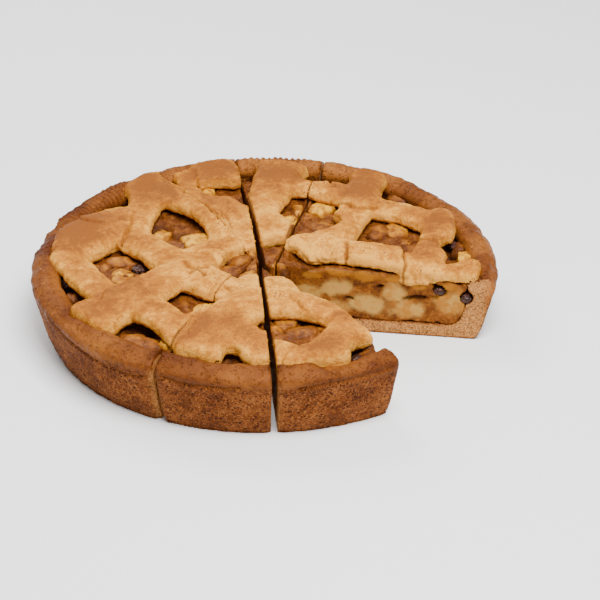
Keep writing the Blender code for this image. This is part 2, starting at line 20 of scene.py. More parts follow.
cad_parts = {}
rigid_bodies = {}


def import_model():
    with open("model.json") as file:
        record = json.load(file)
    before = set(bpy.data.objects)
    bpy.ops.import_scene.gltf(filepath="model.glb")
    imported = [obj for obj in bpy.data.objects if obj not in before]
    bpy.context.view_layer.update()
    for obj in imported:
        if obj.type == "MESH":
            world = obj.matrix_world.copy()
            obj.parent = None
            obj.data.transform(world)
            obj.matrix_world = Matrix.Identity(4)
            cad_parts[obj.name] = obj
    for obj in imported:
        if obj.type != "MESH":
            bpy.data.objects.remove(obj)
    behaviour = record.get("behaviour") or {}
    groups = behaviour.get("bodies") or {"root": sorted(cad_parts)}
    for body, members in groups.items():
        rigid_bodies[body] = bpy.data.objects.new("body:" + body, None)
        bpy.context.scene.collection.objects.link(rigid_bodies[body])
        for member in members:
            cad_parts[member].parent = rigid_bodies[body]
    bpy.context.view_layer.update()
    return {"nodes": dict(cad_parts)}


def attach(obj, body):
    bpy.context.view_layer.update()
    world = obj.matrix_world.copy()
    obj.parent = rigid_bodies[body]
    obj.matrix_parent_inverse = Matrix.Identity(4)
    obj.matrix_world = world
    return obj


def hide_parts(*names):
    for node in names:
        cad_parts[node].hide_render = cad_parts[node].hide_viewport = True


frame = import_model()

bl_info = {
    "name": "Lattice apple pie",
    "version": (1, 0, 0),
    "blender": (4, 5, 0),
    "location": "View3D > Sidebar > Pie",
    "description": "Dresses the solids of a sliced lattice apple pie with crust, filling and crumbs",
    "category": "Object",
}

MM = 0.001
BODY = "root"
UP = Vector((0.0, 0.0, 1.0))

# Half the floor's width, how far it lies under the pie, and the height that crumbs fall from, in metres
FLOOR_SIZE = 4.0
FLOOR_GAP = 0.0002
CRUMB_FALL = 0.2

# The lights: name, place and size in metres, and power as a part of the key light's
LIGHTS = (
    ("key_light", (0.25, -0.6, 1.35), 0.8, 1.0),
    ("back_light", (-0.5, 0.8, 1.0), 0.8, 0.25),
)

RIM_RADIUS = 140.0
RIM_TOP = 42.6
LATTICE_LEVEL = 47.5
STRIP_REACH = 122.0

# How the dough stands out of the solids: on the inside of the rim, on the strips, more on their tops
# and more towards their ends; and how deep its folds and seams are, and how far the juice has sunk
RIM_SWELL = 2.2
STRIP_SWELL = 1.1
TOP_SWELL = 0.8
END_SWELL = 2.0
FOLD_DEPTH = 1.7
SEAM_DEPTH = 1.3
JUICE_SUNK = 1.5

# How strongly the places of BROWNED tell
BROWNING = 1.1

# Length of one degree round the rim
RIM_DEGREE = RIM_RADIUS / 57.3

# Radii over which the crust goes over into the outside of the wall, and heights over which the rim begins
WALL_STARTS = (119.0, 125.0)
RIM_STARTS = (34.0, 38.5)

# Each piece: its tip, as one point or two, and the directions of its cuts in degrees
PIECES = {
    1: (((-6.8, -3.8), (-4.9, -3.8)), 245.5, 273.6),
    2: (((-1.8, -10.0),), 274.1, 305.6),
    3: (((7.4, -8.5),), 350.9, 436.6),
    4: (((6.3, -8.0), (1.3, -8.0)), 76.6, 97.3),
    5: (((-3.0, -6.0),), 96.6, 119.5),
    6: (((-6.8, -1.5),), 119.5, 245.5),
}

# The pieces beside the gap, and which of their cuts faces it: 1 the start, 2 the end
GAP_FACES = {2: 2, 3: 1}

# Stretches of the rim that show a ribbed crimp, in degrees
RIBBED = ((128.0, 166.0), (76.0, 98.0))
RIB_PITCH = 4.0

# Bumps of the folded rim: direction of each notch between two, in degrees, and its depth
RIM_NOTCHES = ((122.0, 2.6), (127.5, 2.0), (147.5, 2.6), (161.5, 3.4), (172.0, 4.0), (184.0, 1.6),
               (66.0, 1.4), (48.0, 1.4), (36.0, 1.4), (88.0, 1.0), (14.0, 1.0), (262.0, 1.0))

# Darker baked places of the rim: (x, y, radius, amount)
RIM_DARK = ((-130, 16, 12, 0.7), (-117, 66, 14, 0.35), (-96, 92, 16, 0.3), (-60, 120, 16, 0.3),
            (20, 134, 20, 0.25), (96, 92, 20, 0.3), (-112, -66, 12, 0.25), (-60, -118, 14, 0.25))

# Fold lines on the outside of the wall: (direction, height) from one end to the other. Each is pressed in
# and painted darker as the shade in its crease.
WALL_FOLDS = (
    ((206.0, 37.0), (214.0, 35.0), (222.0, 32.0), (230.0, 30.5), (238.0, 31.5), (245.0, 34.0)),
    ((246.0, 36.0), (252.0, 34.5), (258.0, 34.5), (264.0, 35.5)),
    ((278.0, 34.5), (285.0, 36.0), (292.0, 36.0), (300.0, 37.0)),
)

# Thin lines in the lattice, where one strip lies over another or the dough has cracked: the line, its width
# and depth, and how far the dough on its left side stands up; each line is also painted dark as the shade in
# its groove
SEAMS = (
    (((-49, -8), (-35, -8), (-26, -19)), 0.9, 1.1, 0.9),
    (((-86, 6), (-84, 18), (-81, 28), (-81, 41)), 0.9, 1.1, 1.5),
    (((-83, -42), (-87, -43), (-92, -51), (-94, -63)), 1.0, 1.4, 1.6),
    (((-114, 42), (-106, 34), (-100, 31)), 0.9, 1.2, 1.0),
    (((-47, -22), (-43, -27), (-36, -30), (-35, -35)), 1.2, 1.6, 0.3),
    (((-44, -33), (-38, -27), (-33, -26)), 1.1, 1.5, 0.2),
    (((92, 15), (100, 9), (111, 5)), 0.9, 1.5, 0.5),
    (((82, -35), (83, -18), (83, 0)), 1.0, 1.8, 1.5),
    (((49, 8), (50, 0), (49, -10), (48, -25)), 1.1, 2.0, 0.4),
    (((55, 52), (60, 48), (70, 54)), 0.9, 1.2, 0.9),
    (((45, 60), (52, 56), (56, 49)), 1.1, 1.5, 0.5),
    (((42, 92), (45, 86), (44, 82)), 1.0, 1.5, 0.6),
    (((-22, 34), (-28, 40), (-38, 56), (-48, 70), (-58, 84)), 1.0, 1.8, 1.2),
    (((-19, 26), (-22, 36), (-26, 44)), 1.0, 1.4, 0.4),
    (((-12, -48), (-18, -50), (-22, -46)), 1.1, 1.5, 0.4),
    (((-28, -66), (-38, -84), (-44, -100)), 1.0, 1.2, 0.6),
    (((36, -89), (24, -104), (16, -116), (10, -126)), 0.9, 1.2, 1.6),
    (((14, -60), (22, -71)), 0.9, 1.2, 0.8),
)

# Openings that the strips keep clear of: (x, y, radius)
CLEARINGS = ((57, -113, 14), (-18, -116, 6), (-27, 79, 14), (113, 6, 11), (-11, -11, 15), (-3, -2, 14),
             (36, 35, 14))

# Places where a strip's edge is moved from where the solids have it:
# (x, y, radius, how far in x, how far in y)
STRETCHES = ((17, -2, 16, -2, 15), (-27, 90, 15, -7, 9))

# The cuts whose gap closes towards the rim, or opens below 0: piece, which cut, and how far
CLOSED_CUTS = ((5, 1, 0.9), (4, 2, 1.1), (6, 2, -1.3))

# Rounded corners of the wall at the cuts: piece, which cut, depth, width, and how pale the corner is
CORNERS = ((6, 2, 2.6, 2.0, 0.8), (1, 1, 2.0, 1.6, 0.2), (1, 2, 0.9, 1.5, 0.2), (2, 1, 0.9, 1.5, 0.3),
           (2, 2, 0.8, 1.5, 0.0))

# Places where the dough has broken into crumbs: (x, y, radius, depth)
CRUMBLY = (
    (-41, -29, 7, 1.0), (36, -4, 15, 1.3), (20, 8, 13, 1.1), (46, -2, 6, 1.2), (30, 84, 6, 1.0),
    (93, -26, 10, 1.3), (105, -24, 6, 1.0), (50, 54, 8, 0.9), (-15, -48, 5, 1.0), (-22, -116, 5, 0.8),
    (26, 76, 8, 1.0), (16, 30, 6, 0.6), (-64, 74, 5, 0.6), (5, -60, 5, 0.5), (54, -82, 5, 0.7),
    (44, 90, 4, 0.9), (-98, 22, 5, 0.5), (-83, 44, 5, 0.7),
)

# How brown the lattice is: (x, y, radius, amount), below 0 where it stays pale
BROWNED = (
    (-114, 26, 20, 0.85), (-74, 86, 22, 0.60), (-31, 104, 20, 0.62), (11, 103, 20, 0.58),
    (65, 96, 18, 0.55), (58, 72, 14, 0.45), (106, 34, 15, 0.60), (97, 0, 13, 0.34), (-102, -72, 16, 0.42),
    (-68, -70, 15, 0.05), (-36, -96, 15, 0.40), (-46, -104, 10, 0.35), (-4, -104, 12, 0.38),
    (32, -108, 16, 0.36), (48, -76, 13, 0.36), (-88, -48, 15, 0.28), (-58, -16, 16, -0.06),
    (-62, 62, 14, 0.25), (-24, 60, 16, 0.34), (118, -22, 12, 0.22), (-74, 8, 12, 0.18),
    (-40, -32, 18, -0.16), (46, 8, 18, -0.10), (22, 2, 18, -0.16), (-60, 14, 14, -0.12),
    (30, -62, 16, -0.14), (-10, -65, 14, -0.24), (6, 52, 13, -0.18), (84, 54, 16, -0.10),
    (8, -42, 14, -0.12), (66, -4, 14, -0.08), (-22, 22, 12, -0.10), (30, 88, 12, -0.08),
    (-23, -3, 9, 0.20), (47, -99, 9, -0.20),
)

# Hollows under the strips: (x, y, radius, depth); the jelly there is also darkened with painted shade
HOLLOWS = (
    (-64, 46, 9, 9), (-52, 40, 7, 6), (-70, -76, 10, 10), (-84, -84, 6, 6), (27, 72, 6, 7), (76, 66, 6, 6),
    (74, 72, 5, 7), (112, 16, 7, 8), (-101, -54, 6, 7), (-109, -44, 5, 6), (48, -104, 6, 5),
    (-24, 80, 6, 4), (10, -80, 5, 4), (26, -74, 6, 4), (-106, -8, 5, 4), (-2, -2, 4, 6), (116, -8, 5, 4),
    (-20, -114, 4, 6), (60, 20, 6, 5),
)

# Apple pieces in the openings: (x, y, top, half length, half width, turn, tone), 0 pale to 1 brown
TOP_APPLE = (
    (-40, 26, 43.5, 9, 8, 20, 0.05), (-62, 33, 42.5, 9, 5, 80, 0.3), (-52, 22, 41.5, 7, 6, 10, 0.8),
    (-50, 58, 38, 7, 6, 40, 1.0), (-85, 2, 42.5, 10, 6, 10, 0.5), (-85, -17, 42, 8, 7, 70, 0.3),
    (-97, -4, 41, 6, 5, 0, 0.6), (-75, -22, 41.5, 8, 5, 30, 0.3), (-103, -48, 39, 7, 5, 120, 0.6),
    (-112, -34, 38, 5, 4, 100, 0.7), (-33, -57, 43, 8, 6, 30, 0.2), (-50, -50, 41.5, 7, 6, 100, 0.75),
    (-20, -52, 42, 6, 4, 20, 0.5), (-75, -88, 40, 9, 6, -20, 0.6), (-53, -89, 41.5, 9, 5, 70, 0.15),
    (-65, -92, 39.5, 7, 5, 0, 0.6), (-70, -69, 36, 6, 5, 0, 1.0), (-36, 90, 42, 9, 5, 90, 0.15),
    (-19, 73, 42, 6, 4, 30, 0.6), (-26, 85, 39.5, 5, 4, 0, 0.9), (-10, 89, 41, 6, 5, 80, 0.3),
    (-15, 0, 44.5, 8, 6, 60, 0.55), (-7, 9, 44, 8, 4, 95, 0.45), (-18, -17, 44.5, 9, 6, 10, 0.75),
    (-6, -7, 44, 7, 5, 80, 0.6), (-9, -21, 43, 8, 6, 60, 0.4), (5, 0, 44, 6, 6, 0, 0.8),
    (9, -7, 43.5, 5, 4, 40, 0.5), (-12, -32, 41.5, 6, 5, 0, 0.7), (14, 51, 43, 9, 7, 20, 0.15),
    (35, 67, 43, 8, 7, 60, 0.05), (38, 44, 42.5, 9, 6, 10, 0.6), (17, 44, 41.5, 6, 5, 0, 0.8),
    (22, 68, 41.5, 8, 4, 100, 0.35), (27, 56, 41, 7, 6, 50, 0.6), (70, 35, 43, 9, 7, 30, 0.65),
    (82, 37, 43, 8, 7, 100, 0.35), (77, 11, 42.5, 7, 6, 20, 0.05), (86, 21, 41, 6, 5, 70, 0.6),
    (68, 18, 41, 6, 5, 20, 0.7), (73, 28, 40, 7, 6, 0, 0.8), (121, 6, 41, 8, 4, 85, 0.1),
    (119, 23, 39.5, 6, 4, 80, 0.85), (84, 88, 39, 7, 4, 130, 0.8), (97, 74, 39, 6, 4, 130, 0.7),
    (36, -81, 43, 6, 5, 30, 0.5), (12, -73, 42, 6, 5, 0, 0.5), (20, -84, 41.5, 10, 6, 20, 0.65),
    (5, -80, 41.5, 6, 5, 0, 0.5), (59, -95, 41, 6, 5, 60, 0.85), (57, -106, 40, 5, 4, 0, 0.9),
    (30, -16, 43.5, 8, 6, 0, 0.5), (48, -19, 43, 8, 6, 30, 0.3), (60, -23, 43, 8, 6, 0, 0.12),
    (72, -23, 42, 6, 5, 40, 0.6),
)

# Apple cut through at the gap: (distance along the cut, height, half sizes, turn, tone)
CUT_APPLE = {
    3: ((19, 23, 9, 7, 0, 0.15), (36, 29, 11, 6, 6, 0.0), (54, 38, 10, 3.5, 2, 0.95),
        (38, 39, 8, 2.5, 0, 1.0), (71, 29, 7, 7, 10, 0.15), (107, 24, 15, 9, -12, 0.4),
        (103, 34, 5, 2.5, 0, 0.9), (33, 15, 12, 5.5, 6, 0.2), (54, 19, 11, 7, -12, 0.1),
        (78, 17, 12, 6, 8, 0.25), (84, 34, 6, 3, 0, 0.8), (21, 36, 7, 2.5, 0, 0.9),
        (70, 37, 6, 2.5, 0, 0.9)),
    2: ((20, 30, 9, 7, 10, 0.1), (34, 18, 9, 8, 60, 0.0), (42, 35, 9, 4, 0, 0.6), (54, 20, 11, 7, 20, 0.2),
        (64, 34, 9, 5, -10, 0.3), (76, 19, 9, 8, 50, 0.2), (84, 33, 8, 6, 30, 0.1), (99, 21, 10, 9, 0, 0.05),
        (105, 34, 7, 4, 20, 0.6)),
}

# Holes in the cut filling: (distance along the cut, height, half sizes, turn); they are pushed in and
# darkened with painted shade
CUT_HOLES = {
    3: ((87, 25.5, 9, 1.5, 8), (99, 30, 4, 2, 0), (62, 31, 2.5, 1.0, 20), (44, 22, 3, 0.9, -10)),
    2: ((48, 28, 4, 1.3, 10), (68, 26, 4, 1.2, -20), (92, 28, 4, 1.6, 30)),
}

# How far the dice of TOP_APPLE lie below their tops' heights, and half their height
APPLE_SUNK = 1.9
DICE_HALF_HEIGHT = 5.2

# How the raisins have dried: their size and height as parts of the solids', and how far they lie lower
RAISIN_SHRUNK = 0.80
RAISIN_FLATTENED = 0.8
RAISIN_SUNK = 1.9

# No crumb lies lower than this
LOWEST_CRUMB = 30.0

# Larger crumbs that lie on the rim: (x, y, radius)
LARGE_CRUMBS = ((-132, -18, 0.7), (-129, -34, 0.7), (-131, 33, 0.5), (-75, 117, 0.7), (-128, -58, 0.5))

RAISIN_NODES = ("raisin_left_rim", "raisin_left", "raisin_front", "raisin_back_a", "raisin_back_b",
                "raisin_right", "raisin_cut_wall", "raisin_cut")


def smooth_step(value, start, end):
    """0 before start, 1 past end, and an even rise between them, for numbers or arrays."""
    t = np.clip((value - start) / (end - start), 0.0, 1.0)
    return t * t * (3.0 - 2.0 * t)


def noise_at(points, size, seed):
    """Smooth noise from -1 to 1 at each point, with features about this large."""
    moved = points / size + np.array((seed * 3.7, seed * 7.3, seed * 1.9))
    return np.array([noise.noise(place) for place in moved.tolist()])


def rough_at(points, size, seed, octaves=4):
    """Noise with finer and finer detail, about -1 to 1."""
    moved = points / size + np.array((seed * 5.1, seed * 2.3, seed * 8.7))
    return np.array([noise.fractal(place, 0.8, 2.1, octaves) for place in moved.tolist()])


def near_spot(points, x, y, reach, sharpness=1.0):
    """1 at a place in plan, fading to 0 over about this reach."""
    away = np.hypot(points[:, 0] - x, points[:, 1] - y)
    return np.exp(-((away / reach) ** 2) * sharpness)


def measure_to_line(x, y, line):
    """Distance in plan from each point to a polyline, and whether the point lies on its left side."""
    best = np.full(len(x), 1e9)
    left = np.zeros(len(x), bool)
    for (ax, ay), (bx, by) in zip(line[:-1], line[1:]):
        length = (bx - ax) ** 2 + (by - ay) ** 2
        t = np.clip(((x - ax) * (bx - ax) + (y - ay) * (by - ay)) / length, 0.0, 1.0)
        away = np.hypot(x - ax - t * (bx - ax), y - ay - t * (by - ay))
        side = (bx - ax) * (y - ay) > (by - ay) * (x - ax)
        left = np.where(away < best, side, left)
        best = np.minimum(best, away)
    return best, left


def cut_planes(piece):
    """The two cuts of a piece, each as (a point on it, the direction out of the piece)."""
    tips, start, end = PIECES[piece]
    a = math.radians(start)
    b = math.radians(end)
    return (
        (np.array((*tips[0], 0.0)), np.array((math.sin(a), -math.cos(a), 0.0))),
        (np.array((*tips[-1], 0.0)), np.array((-math.sin(b), math.cos(b), 0.0))),
    )


def in_piece(piece, x, y, margin):
    """Whether a point lies in the sector of a piece, at least this far inside its cuts."""
    place = np.array((x, y, 0.0))
    return all((place - spot) @ out < -margin for spot, out in cut_planes(piece))


def apply_modifiers(obj):
    """Turn the object's modifiers into its mesh."""
    bpy.context.view_layer.update()
    graph = bpy.context.evaluated_depsgraph_get()
    mesh = bpy.data.meshes.new_from_object(obj.evaluated_get(graph))
    old = obj.data
    obj.modifiers.clear()
    obj.data = mesh
    bpy.data.meshes.remove(old)


def object_of(work, name):
    """A new object in the scene, made of an editable mesh, which is freed."""
    mesh = bpy.data.meshes.new(name)
    work.to_mesh(mesh)
    work.free()
    obj = bpy.data.objects.new(name, mesh)
    bpy.context.scene.collection.objects.link(obj)
    return obj


def fine_copy(node, name, voxel):
    """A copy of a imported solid, remade with small even faces."""
    obj = bpy.data.objects.new(name, frame["nodes"][node].data.copy())
    bpy.context.scene.collection.objects.link(obj)
    remesh = obj.modifiers.new("Remesh", "REMESH")
    remesh.mode = "VOXEL"
    remesh.voxel_size = voxel * MM
    apply_modifiers(obj)
    return obj


class Skin:
    """The points of a mesh in millimetres, with what a sculpting step needs to know of them."""

    def __init__(self, obj, piece, flush):
        self.obj = obj
        self.planes = cut_planes(piece)
        mesh = obj.data
        edges = np.empty(len(mesh.edges) * 2, np.int32)
        mesh.edges.foreach_get("vertices", edges)
        self.ends = edges.reshape(-1, 2)
        self.read()
        self.find_cuts(flush)

    def read(self):
        """Read points and normals from the mesh."""
        mesh = self.obj.data
        flat = np.empty(len(mesh.vertices) * 3, np.float32)
        mesh.vertices.foreach_get("co", flat)
        self.points = flat.reshape(-1, 3).astype(float) / MM
        mesh.vertex_normals.foreach_get("vector", flat)
        self.normals = flat.reshape(-1, 3).astype(float)

    def write(self):
        """Write the points to the mesh and read its new normals."""
        mesh = self.obj.data
        mesh.vertices.foreach_set("co", (self.points * MM).astype(np.float32).ravel())
        mesh.update()
        self.read()

    def find_cuts(self, flush):
        """Mark the points on each cut, and the outer points that border them."""
        count = len(self.points)
        self.cut = np.zeros(count, np.int32)
        for number, (spot, out) in enumerate(self.planes, 1):
            beyond = (self.points - spot) @ out
            on_face = (beyond > -flush) & (self.normals @ out > 0.75)
            self.cut[on_face] = number
        under = (self.points[:, 2] < 0.6) & (self.normals[:, 2] < -0.75) & (self.cut == 0)
        self.cut[under] = 3
        self.border = np.zeros(count, np.int32)
        a, b = self.ends.T
        for one, other in ((a, b), (b, a)):
            touching = (self.cut[one] == 0) & (self.cut[other] > 0)
            self.border[one[touching]] = self.cut[other[touching]]

    def release(self, number):
        """Let the points of one cut move with the skin, and return which they are."""
        released = self.cut == number
        self.cut[released] = 0
        self.border[self.border == number] = 0
        return released

    def hold(self):
        """Put the points of each cut, and those that border it, back on its plane."""
        for number, (spot, out) in enumerate(self.planes, 1):
            held = (self.cut == number) | (self.border == number)
            beyond = (self.points[held] - spot) @ out
            self.points[held] -= beyond[:, None] * out
        ground = (self.cut == 3) | (self.border == 3)
        self.points[ground, 2] = 0.0

    def keep_inside(self):
        """Bring points that have come past a cut of the piece back to it."""
        for spot, out in self.planes:
            beyond = np.maximum(0.0, (self.points - spot) @ out)
            self.points -= beyond[:, None] * out

    def smooth(self, rounds, hold=True):
        """Even out the surface, with the cuts' edges kept sharp."""
        a, b = self.ends.T
        skin = self.cut == 0
        to_a = skin[b] | ~skin[a]
        to_b = skin[a] | ~skin[b]
        into = np.concatenate((a[to_a], b[to_b]))
        source = np.concatenate((b[to_a], a[to_b]))
        count = np.maximum(1, np.bincount(into, minlength=len(self.points)))
        for _ in range(rounds):
            for axis in range(3):
                total = np.bincount(into, self.points[source, axis], len(self.points))
                self.points[:, axis] += 0.5 * (total / count - self.points[:, axis])
            if hold:
                self.hold()

    def swell(self, amount):
        """Move the outer points along their normals by these millimetres, and the cuts not at all."""
        free = (self.cut == 0) & (self.border == 0)
        amount = np.broadcast_to(amount, len(self.points))
        self.points[free] += self.normals[free] * amount[free, None]

    def close_cuts(self, piece):
        """Move the faces of CLOSED_CUTS at the rim, outward to close a cut and inward to open it."""
        radius = np.hypot(self.points[:, 0], self.points[:, 1])
        for number, side, reach in CLOSED_CUTS:
            if number == piece:
                spot, out = self.planes[side - 1]
                near = smooth_step((self.points - spot) @ out, -14.0, 0.0)
                self.points += (reach * near * smooth_step(radius, 70.0, 120.0))[:, None] * out

    def roughen_cuts(self, depth, size, seed):
        """Give the two cut faces a grain."""
        faces = (self.cut == 1) | (self.cut == 2)
        grain = depth * rough_at(self.points[faces], size, seed)
        self.points[faces] += self.normals[faces] * grain[:, None]

    def bulge(self, rounds=14):
        """How far each point stands out of its neighbourhood, in millimetres."""
        kept = self.points.copy()
        self.smooth(rounds, hold=False)
        out = ((kept - self.points) * self.normals).sum(axis=1)
        self.points = kept
        return out

    def paint(self, **values):
        """Store one number at each point under each name."""
        for name, amounts in values.items():
            layer = self.obj.data.attributes.new(name, "FLOAT", "POINT")
            layer.data.foreach_set("value", np.asarray(amounts, np.float32))


def dress(obj, look, slot, *nodes):
    """Finish a piece: its material, smooth shading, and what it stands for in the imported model."""
    obj.data.materials.clear()
    obj.data.materials.append(look)
    obj.data.shade_smooth()
    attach(obj, BODY)
    if nodes:
        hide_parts(*nodes)
    return obj


class Look:
    """A node material, with short ways to add nodes to it."""

    def __init__(self, name):
        self.material = bpy.data.materials.new(name)
        self.material.use_nodes = True
        self.tree = self.material.node_tree
        self.shader = self.tree.nodes["Principled BSDF"]
        place = self.tree.nodes.new("ShaderNodeNewGeometry")
        self.place = place.outputs["Position"]

    def set(self, values):
        """Set plain values on the shader's own sockets, by their names."""
        for name, value in values.items():
            self.shader.inputs[name].default_value = value

    def join(self, source, target):
        """Link a socket, or set a value."""
        if isinstance(source, bpy.types.NodeSocket):
            self.tree.links.new(source, target)
        else:
            target.default_value = source

    def layer(self, name):
        """A number stored at the mesh's points."""
        node = self.tree.nodes.new("ShaderNodeAttribute")
        node.attribute_name = name
        return node.outputs["Fac"]

    def grain(self, size, detail=3.0, rough=0.55, twist=0.0):
        """Noise with features about this many millimetres across."""
        node = self.tree.nodes.new("ShaderNodeTexNoise")
        self.join(self.place, node.inputs["Vector"])
        node.inputs["Scale"].default_value = 1.0 / (size * MM)
        node.inputs["Detail"].default_value = detail
        node.inputs["Roughness"].default_value = rough
        node.inputs["Distortion"].default_value = twist
        return node.outputs["Fac"]

    def cells(self, size):
        """Distance to the nearest of many scattered points, about this many millimetres apart."""
        node = self.tree.nodes.new("ShaderNodeTexVoronoi")
        self.join(self.place, node.inputs["Vector"])
        node.inputs["Scale"].default_value = 1.0 / (size * MM)
        return node.outputs["Distance"]

    def sums(self, operation, a, b):
        """One step of arithmetic."""
        node = self.tree.nodes.new("ShaderNodeMath")
        node.operation = operation
        self.join(a, node.inputs[0])
        self.join(b, node.inputs[1])
        return node.outputs[0]

    def plus(self, a, b, share):
        """a, and this share of b."""
        return self.sums("ADD", a, self.sums("MULTIPLY", b, share))

    def spread(self, value, low, high, to_low=0.0, to_high=1.0):
        """Map a range of values to another, smoothly and clamped."""
        node = self.tree.nodes.new("ShaderNodeMapRange")
        node.interpolation_type = "SMOOTHSTEP"
        for socket, number in zip(node.inputs[1:5], (low, high, to_low, to_high)):
            socket.default_value = number
        self.join(value, node.inputs[0])
        return node.outputs[0]

    def blend(self, amount, a, b):
        """Mix two colours."""
        node = self.tree.nodes.new("ShaderNodeMix")
        node.data_type = "RGBA"
        self.join(amount, node.inputs[0])
        for value, socket in ((a, node.inputs[6]), (b, node.inputs[7])):
            self.join(value if isinstance(value, bpy.types.NodeSocket) else (*value, 1.0), socket)
        return node.outputs[2]

    def steps(self, value, *stops):
        """Colours along a range: (position, colour) ..."""
        node = self.tree.nodes.new("ShaderNodeValToRGB")
        ramp = node.color_ramp
        while len(ramp.elements) < len(stops):
            ramp.elements.new(1.0)
        for element, (position, colour) in zip(ramp.elements, stops):
            element.position = position
            element.color = (*colour, 1.0)
        self.join(value, node.inputs[0])
        return node.outputs[0]

    def relief(self, height, strength, distance):
        """Fine relief in the shading."""
        node = self.tree.nodes.new("ShaderNodeBump")
        node.inputs["Strength"].default_value = strength
        node.inputs["Distance"].default_value = distance * MM
        self.join(height, node.inputs["Height"])
        self.join(node.outputs[0], self.shader.inputs["Normal"])


def crust_look(pie):
    """Baked shortcrust: a porous brown wall, a satin rim and a pale crumb where it is cut."""
    look = Look("crust_baked")
    fine = look.grain(0.9, 4.0, 0.6)
    broad = look.grain(14.0, 3.0, 0.5)
    middle = look.grain(3.2, 4.0, 0.6)
    tone = look.plus(look.sums("MULTIPLY", broad, 0.55), middle, 0.45)
    crumby = look.plus(look.sums("MULTIPLY", tone, 0.55), fine, 0.45)
    wall = look.steps(crumby, (0.40, pie.wall_dark), (0.50, pie.wall_brown), (0.60, pie.wall_light))
    pores = look.spread(look.cells(3.4), 0.12, 0.26, 1.0, 0.0)
    pores = look.sums("MULTIPLY", pores, look.spread(middle, 0.46, 0.56))
    small = look.spread(look.cells(1.7), 0.18, 0.38, 1.0, 0.0)
    small = look.sums("MULTIPLY", small, look.spread(look.grain(5.0, 3.0, 0.6), 0.38, 0.54))
    pores = look.sums("MAXIMUM", pores, small)
    wall = look.blend(look.sums("MULTIPLY", pores, 0.85), wall, pie.pore)
    specks = look.spread(look.grain(1.1, 3.0, 0.6), 0.58, 0.68, 0.0, 0.75)
    wall = look.blend(specks, wall, pie.speck)
    # The bake layer holds the baked tone, with painted shade along the wall's folds.
    bake = look.layer("bake")
    rim_tone = look.plus(bake, look.sums("SUBTRACT", tone, 0.5), 0.9)
    rim = look.steps(rim_tone, (0.15, pie.rim_tan), (0.5, pie.rim_brown), (0.9, pie.rim_red))
    shell = look.blend(look.layer("rim"), wall, rim)
    crumb = look.blend(look.spread(fine, 0.40, 0.66), pie.crumb_dark, pie.crumb_pale)
    crumb = look.blend(look.layer("edge"), crumb, pie.wall_light)
    colour = look.blend(look.layer("cut"), shell, crumb)
    look.join(colour, look.shader.inputs["Base Color"])
    rough = look.spread(look.layer("rim"), 0.0, 1.0, 0.72, 0.44)
    rough = look.sums("ADD", rough, look.spread(fine, 0.3, 0.7, -0.08, 0.10))
    look.join(rough, look.shader.inputs["Roughness"])
    height = look.plus(look.sums("MULTIPLY", fine, 0.8), pores, -1.2)
    smoother = look.spread(look.layer("rim"), 0.0, 1.0, 1.0, 0.4)
    look.relief(look.sums("MULTIPLY", height, smoother), 1.0, 1.5)
    look.set({"Specular IOR Level": 0.08})
    return look.material


def lattice_look(pie):
    """Baked dough strips: pale tan to golden brown, with a low sheen and painted shade in their seams."""
    look = Look("lattice_baked")
    fine = look.grain(0.8, 4.0, 0.6)
    patch = look.grain(9.0, 4.0, 0.6, 0.4)
    mottle = look.grain(2.6, 4.0, 0.6)
    tone = look.sums("ADD", look.layer("bake"), look.spread(patch, 0.3, 0.7, -0.24, 0.24))
    tone = look.sums("ADD", tone, look.spread(mottle, 0.3, 0.7, -0.14, 0.14))
    tone = look.sums("ADD", tone, look.spread(fine, 0.3, 0.7, -0.18, 0.18))
    colour = look.steps(tone, (0.02, pie.dough_pale), (0.30, pie.dough_tan), (0.64, pie.dough_gold),
                        (1.0, pie.dough_brown))
    crumb = look.blend(look.spread(fine, 0.40, 0.66), pie.crumb_dark, pie.crumb_pale)
    colour = look.blend(look.layer("cut"), colour, crumb)
    # Painted shade darkens the seams and cracks of the lattice.
    colour = look.blend(look.layer("crack"), colour, pie.crack)
    look.join(colour, look.shader.inputs["Base Color"])
    look.join(look.spread(patch, 0.3, 0.7, 0.40, 0.56), look.shader.inputs["Roughness"])
    look.relief(look.plus(mottle, fine, 0.7), 0.9, 0.9)
    look.set({
        "Specular IOR Level": 0.04, "Subsurface Weight": 0.02, "Subsurface Radius": (1.0, 0.5, 0.25),
        "Subsurface Scale": 0.0015,
    })
    return look.material


def jelly_look(pie):
    """Set apple juice: brown and glossy, with grainy highlights, and painted shade in its hollows."""
    look = Look("filling_jelly")
    patch = look.grain(6.0, 4.0, 0.6, 0.6)
    fine = look.grain(1.3, 4.0, 0.65)
    tone = look.plus(look.sums("MULTIPLY", patch, 0.7), fine, 0.3)
    colour = look.steps(tone, (0.36, pie.jelly_dark), (0.5, pie.jelly_brown), (0.64, pie.jelly_orange))
    sliced = look.steps(tone, (0.36, pie.jelly_dark), (0.50, pie.jelly_face_dark), (0.64, pie.jelly_face))
    colour = look.blend(look.layer("faced"), colour, sliced)
    ripe = look.sums("ADD", look.layer("tone"), look.spread(patch, 0.3, 0.7, -0.28, 0.28))
    flesh = look.steps(ripe, (0.1, pie.apple_cut), (0.45, pie.apple_cut_warm), (0.85, pie.apple_gold))
    colour = look.blend(look.layer("apple"), colour, flesh)
    # Painted shade in the deep hollows under the strips and in the holes of the cut faces.
    colour = look.blend(look.layer("deep"), colour, pie.hollow_shade)
    look.join(colour, look.shader.inputs["Base Color"])
    duller = look.plus(look.spread(fine, 0.3, 0.7, 0.22, 0.50), look.layer("faced"), 0.28)
    look.join(duller, look.shader.inputs["Roughness"])
    calm = look.spread(look.layer("apple"), 0.0, 1.0, 1.0, 0.25)
    look.relief(look.sums("MULTIPLY", look.plus(fine, patch, 1.2), calm), 0.8, 0.8)
    look.set({
        "Specular IOR Level": 0.07, "Subsurface Weight": 0.05, "Subsurface Radius": (1.0, 0.35, 0.12),
        "Subsurface Scale": 0.004,
    })
    return look.material


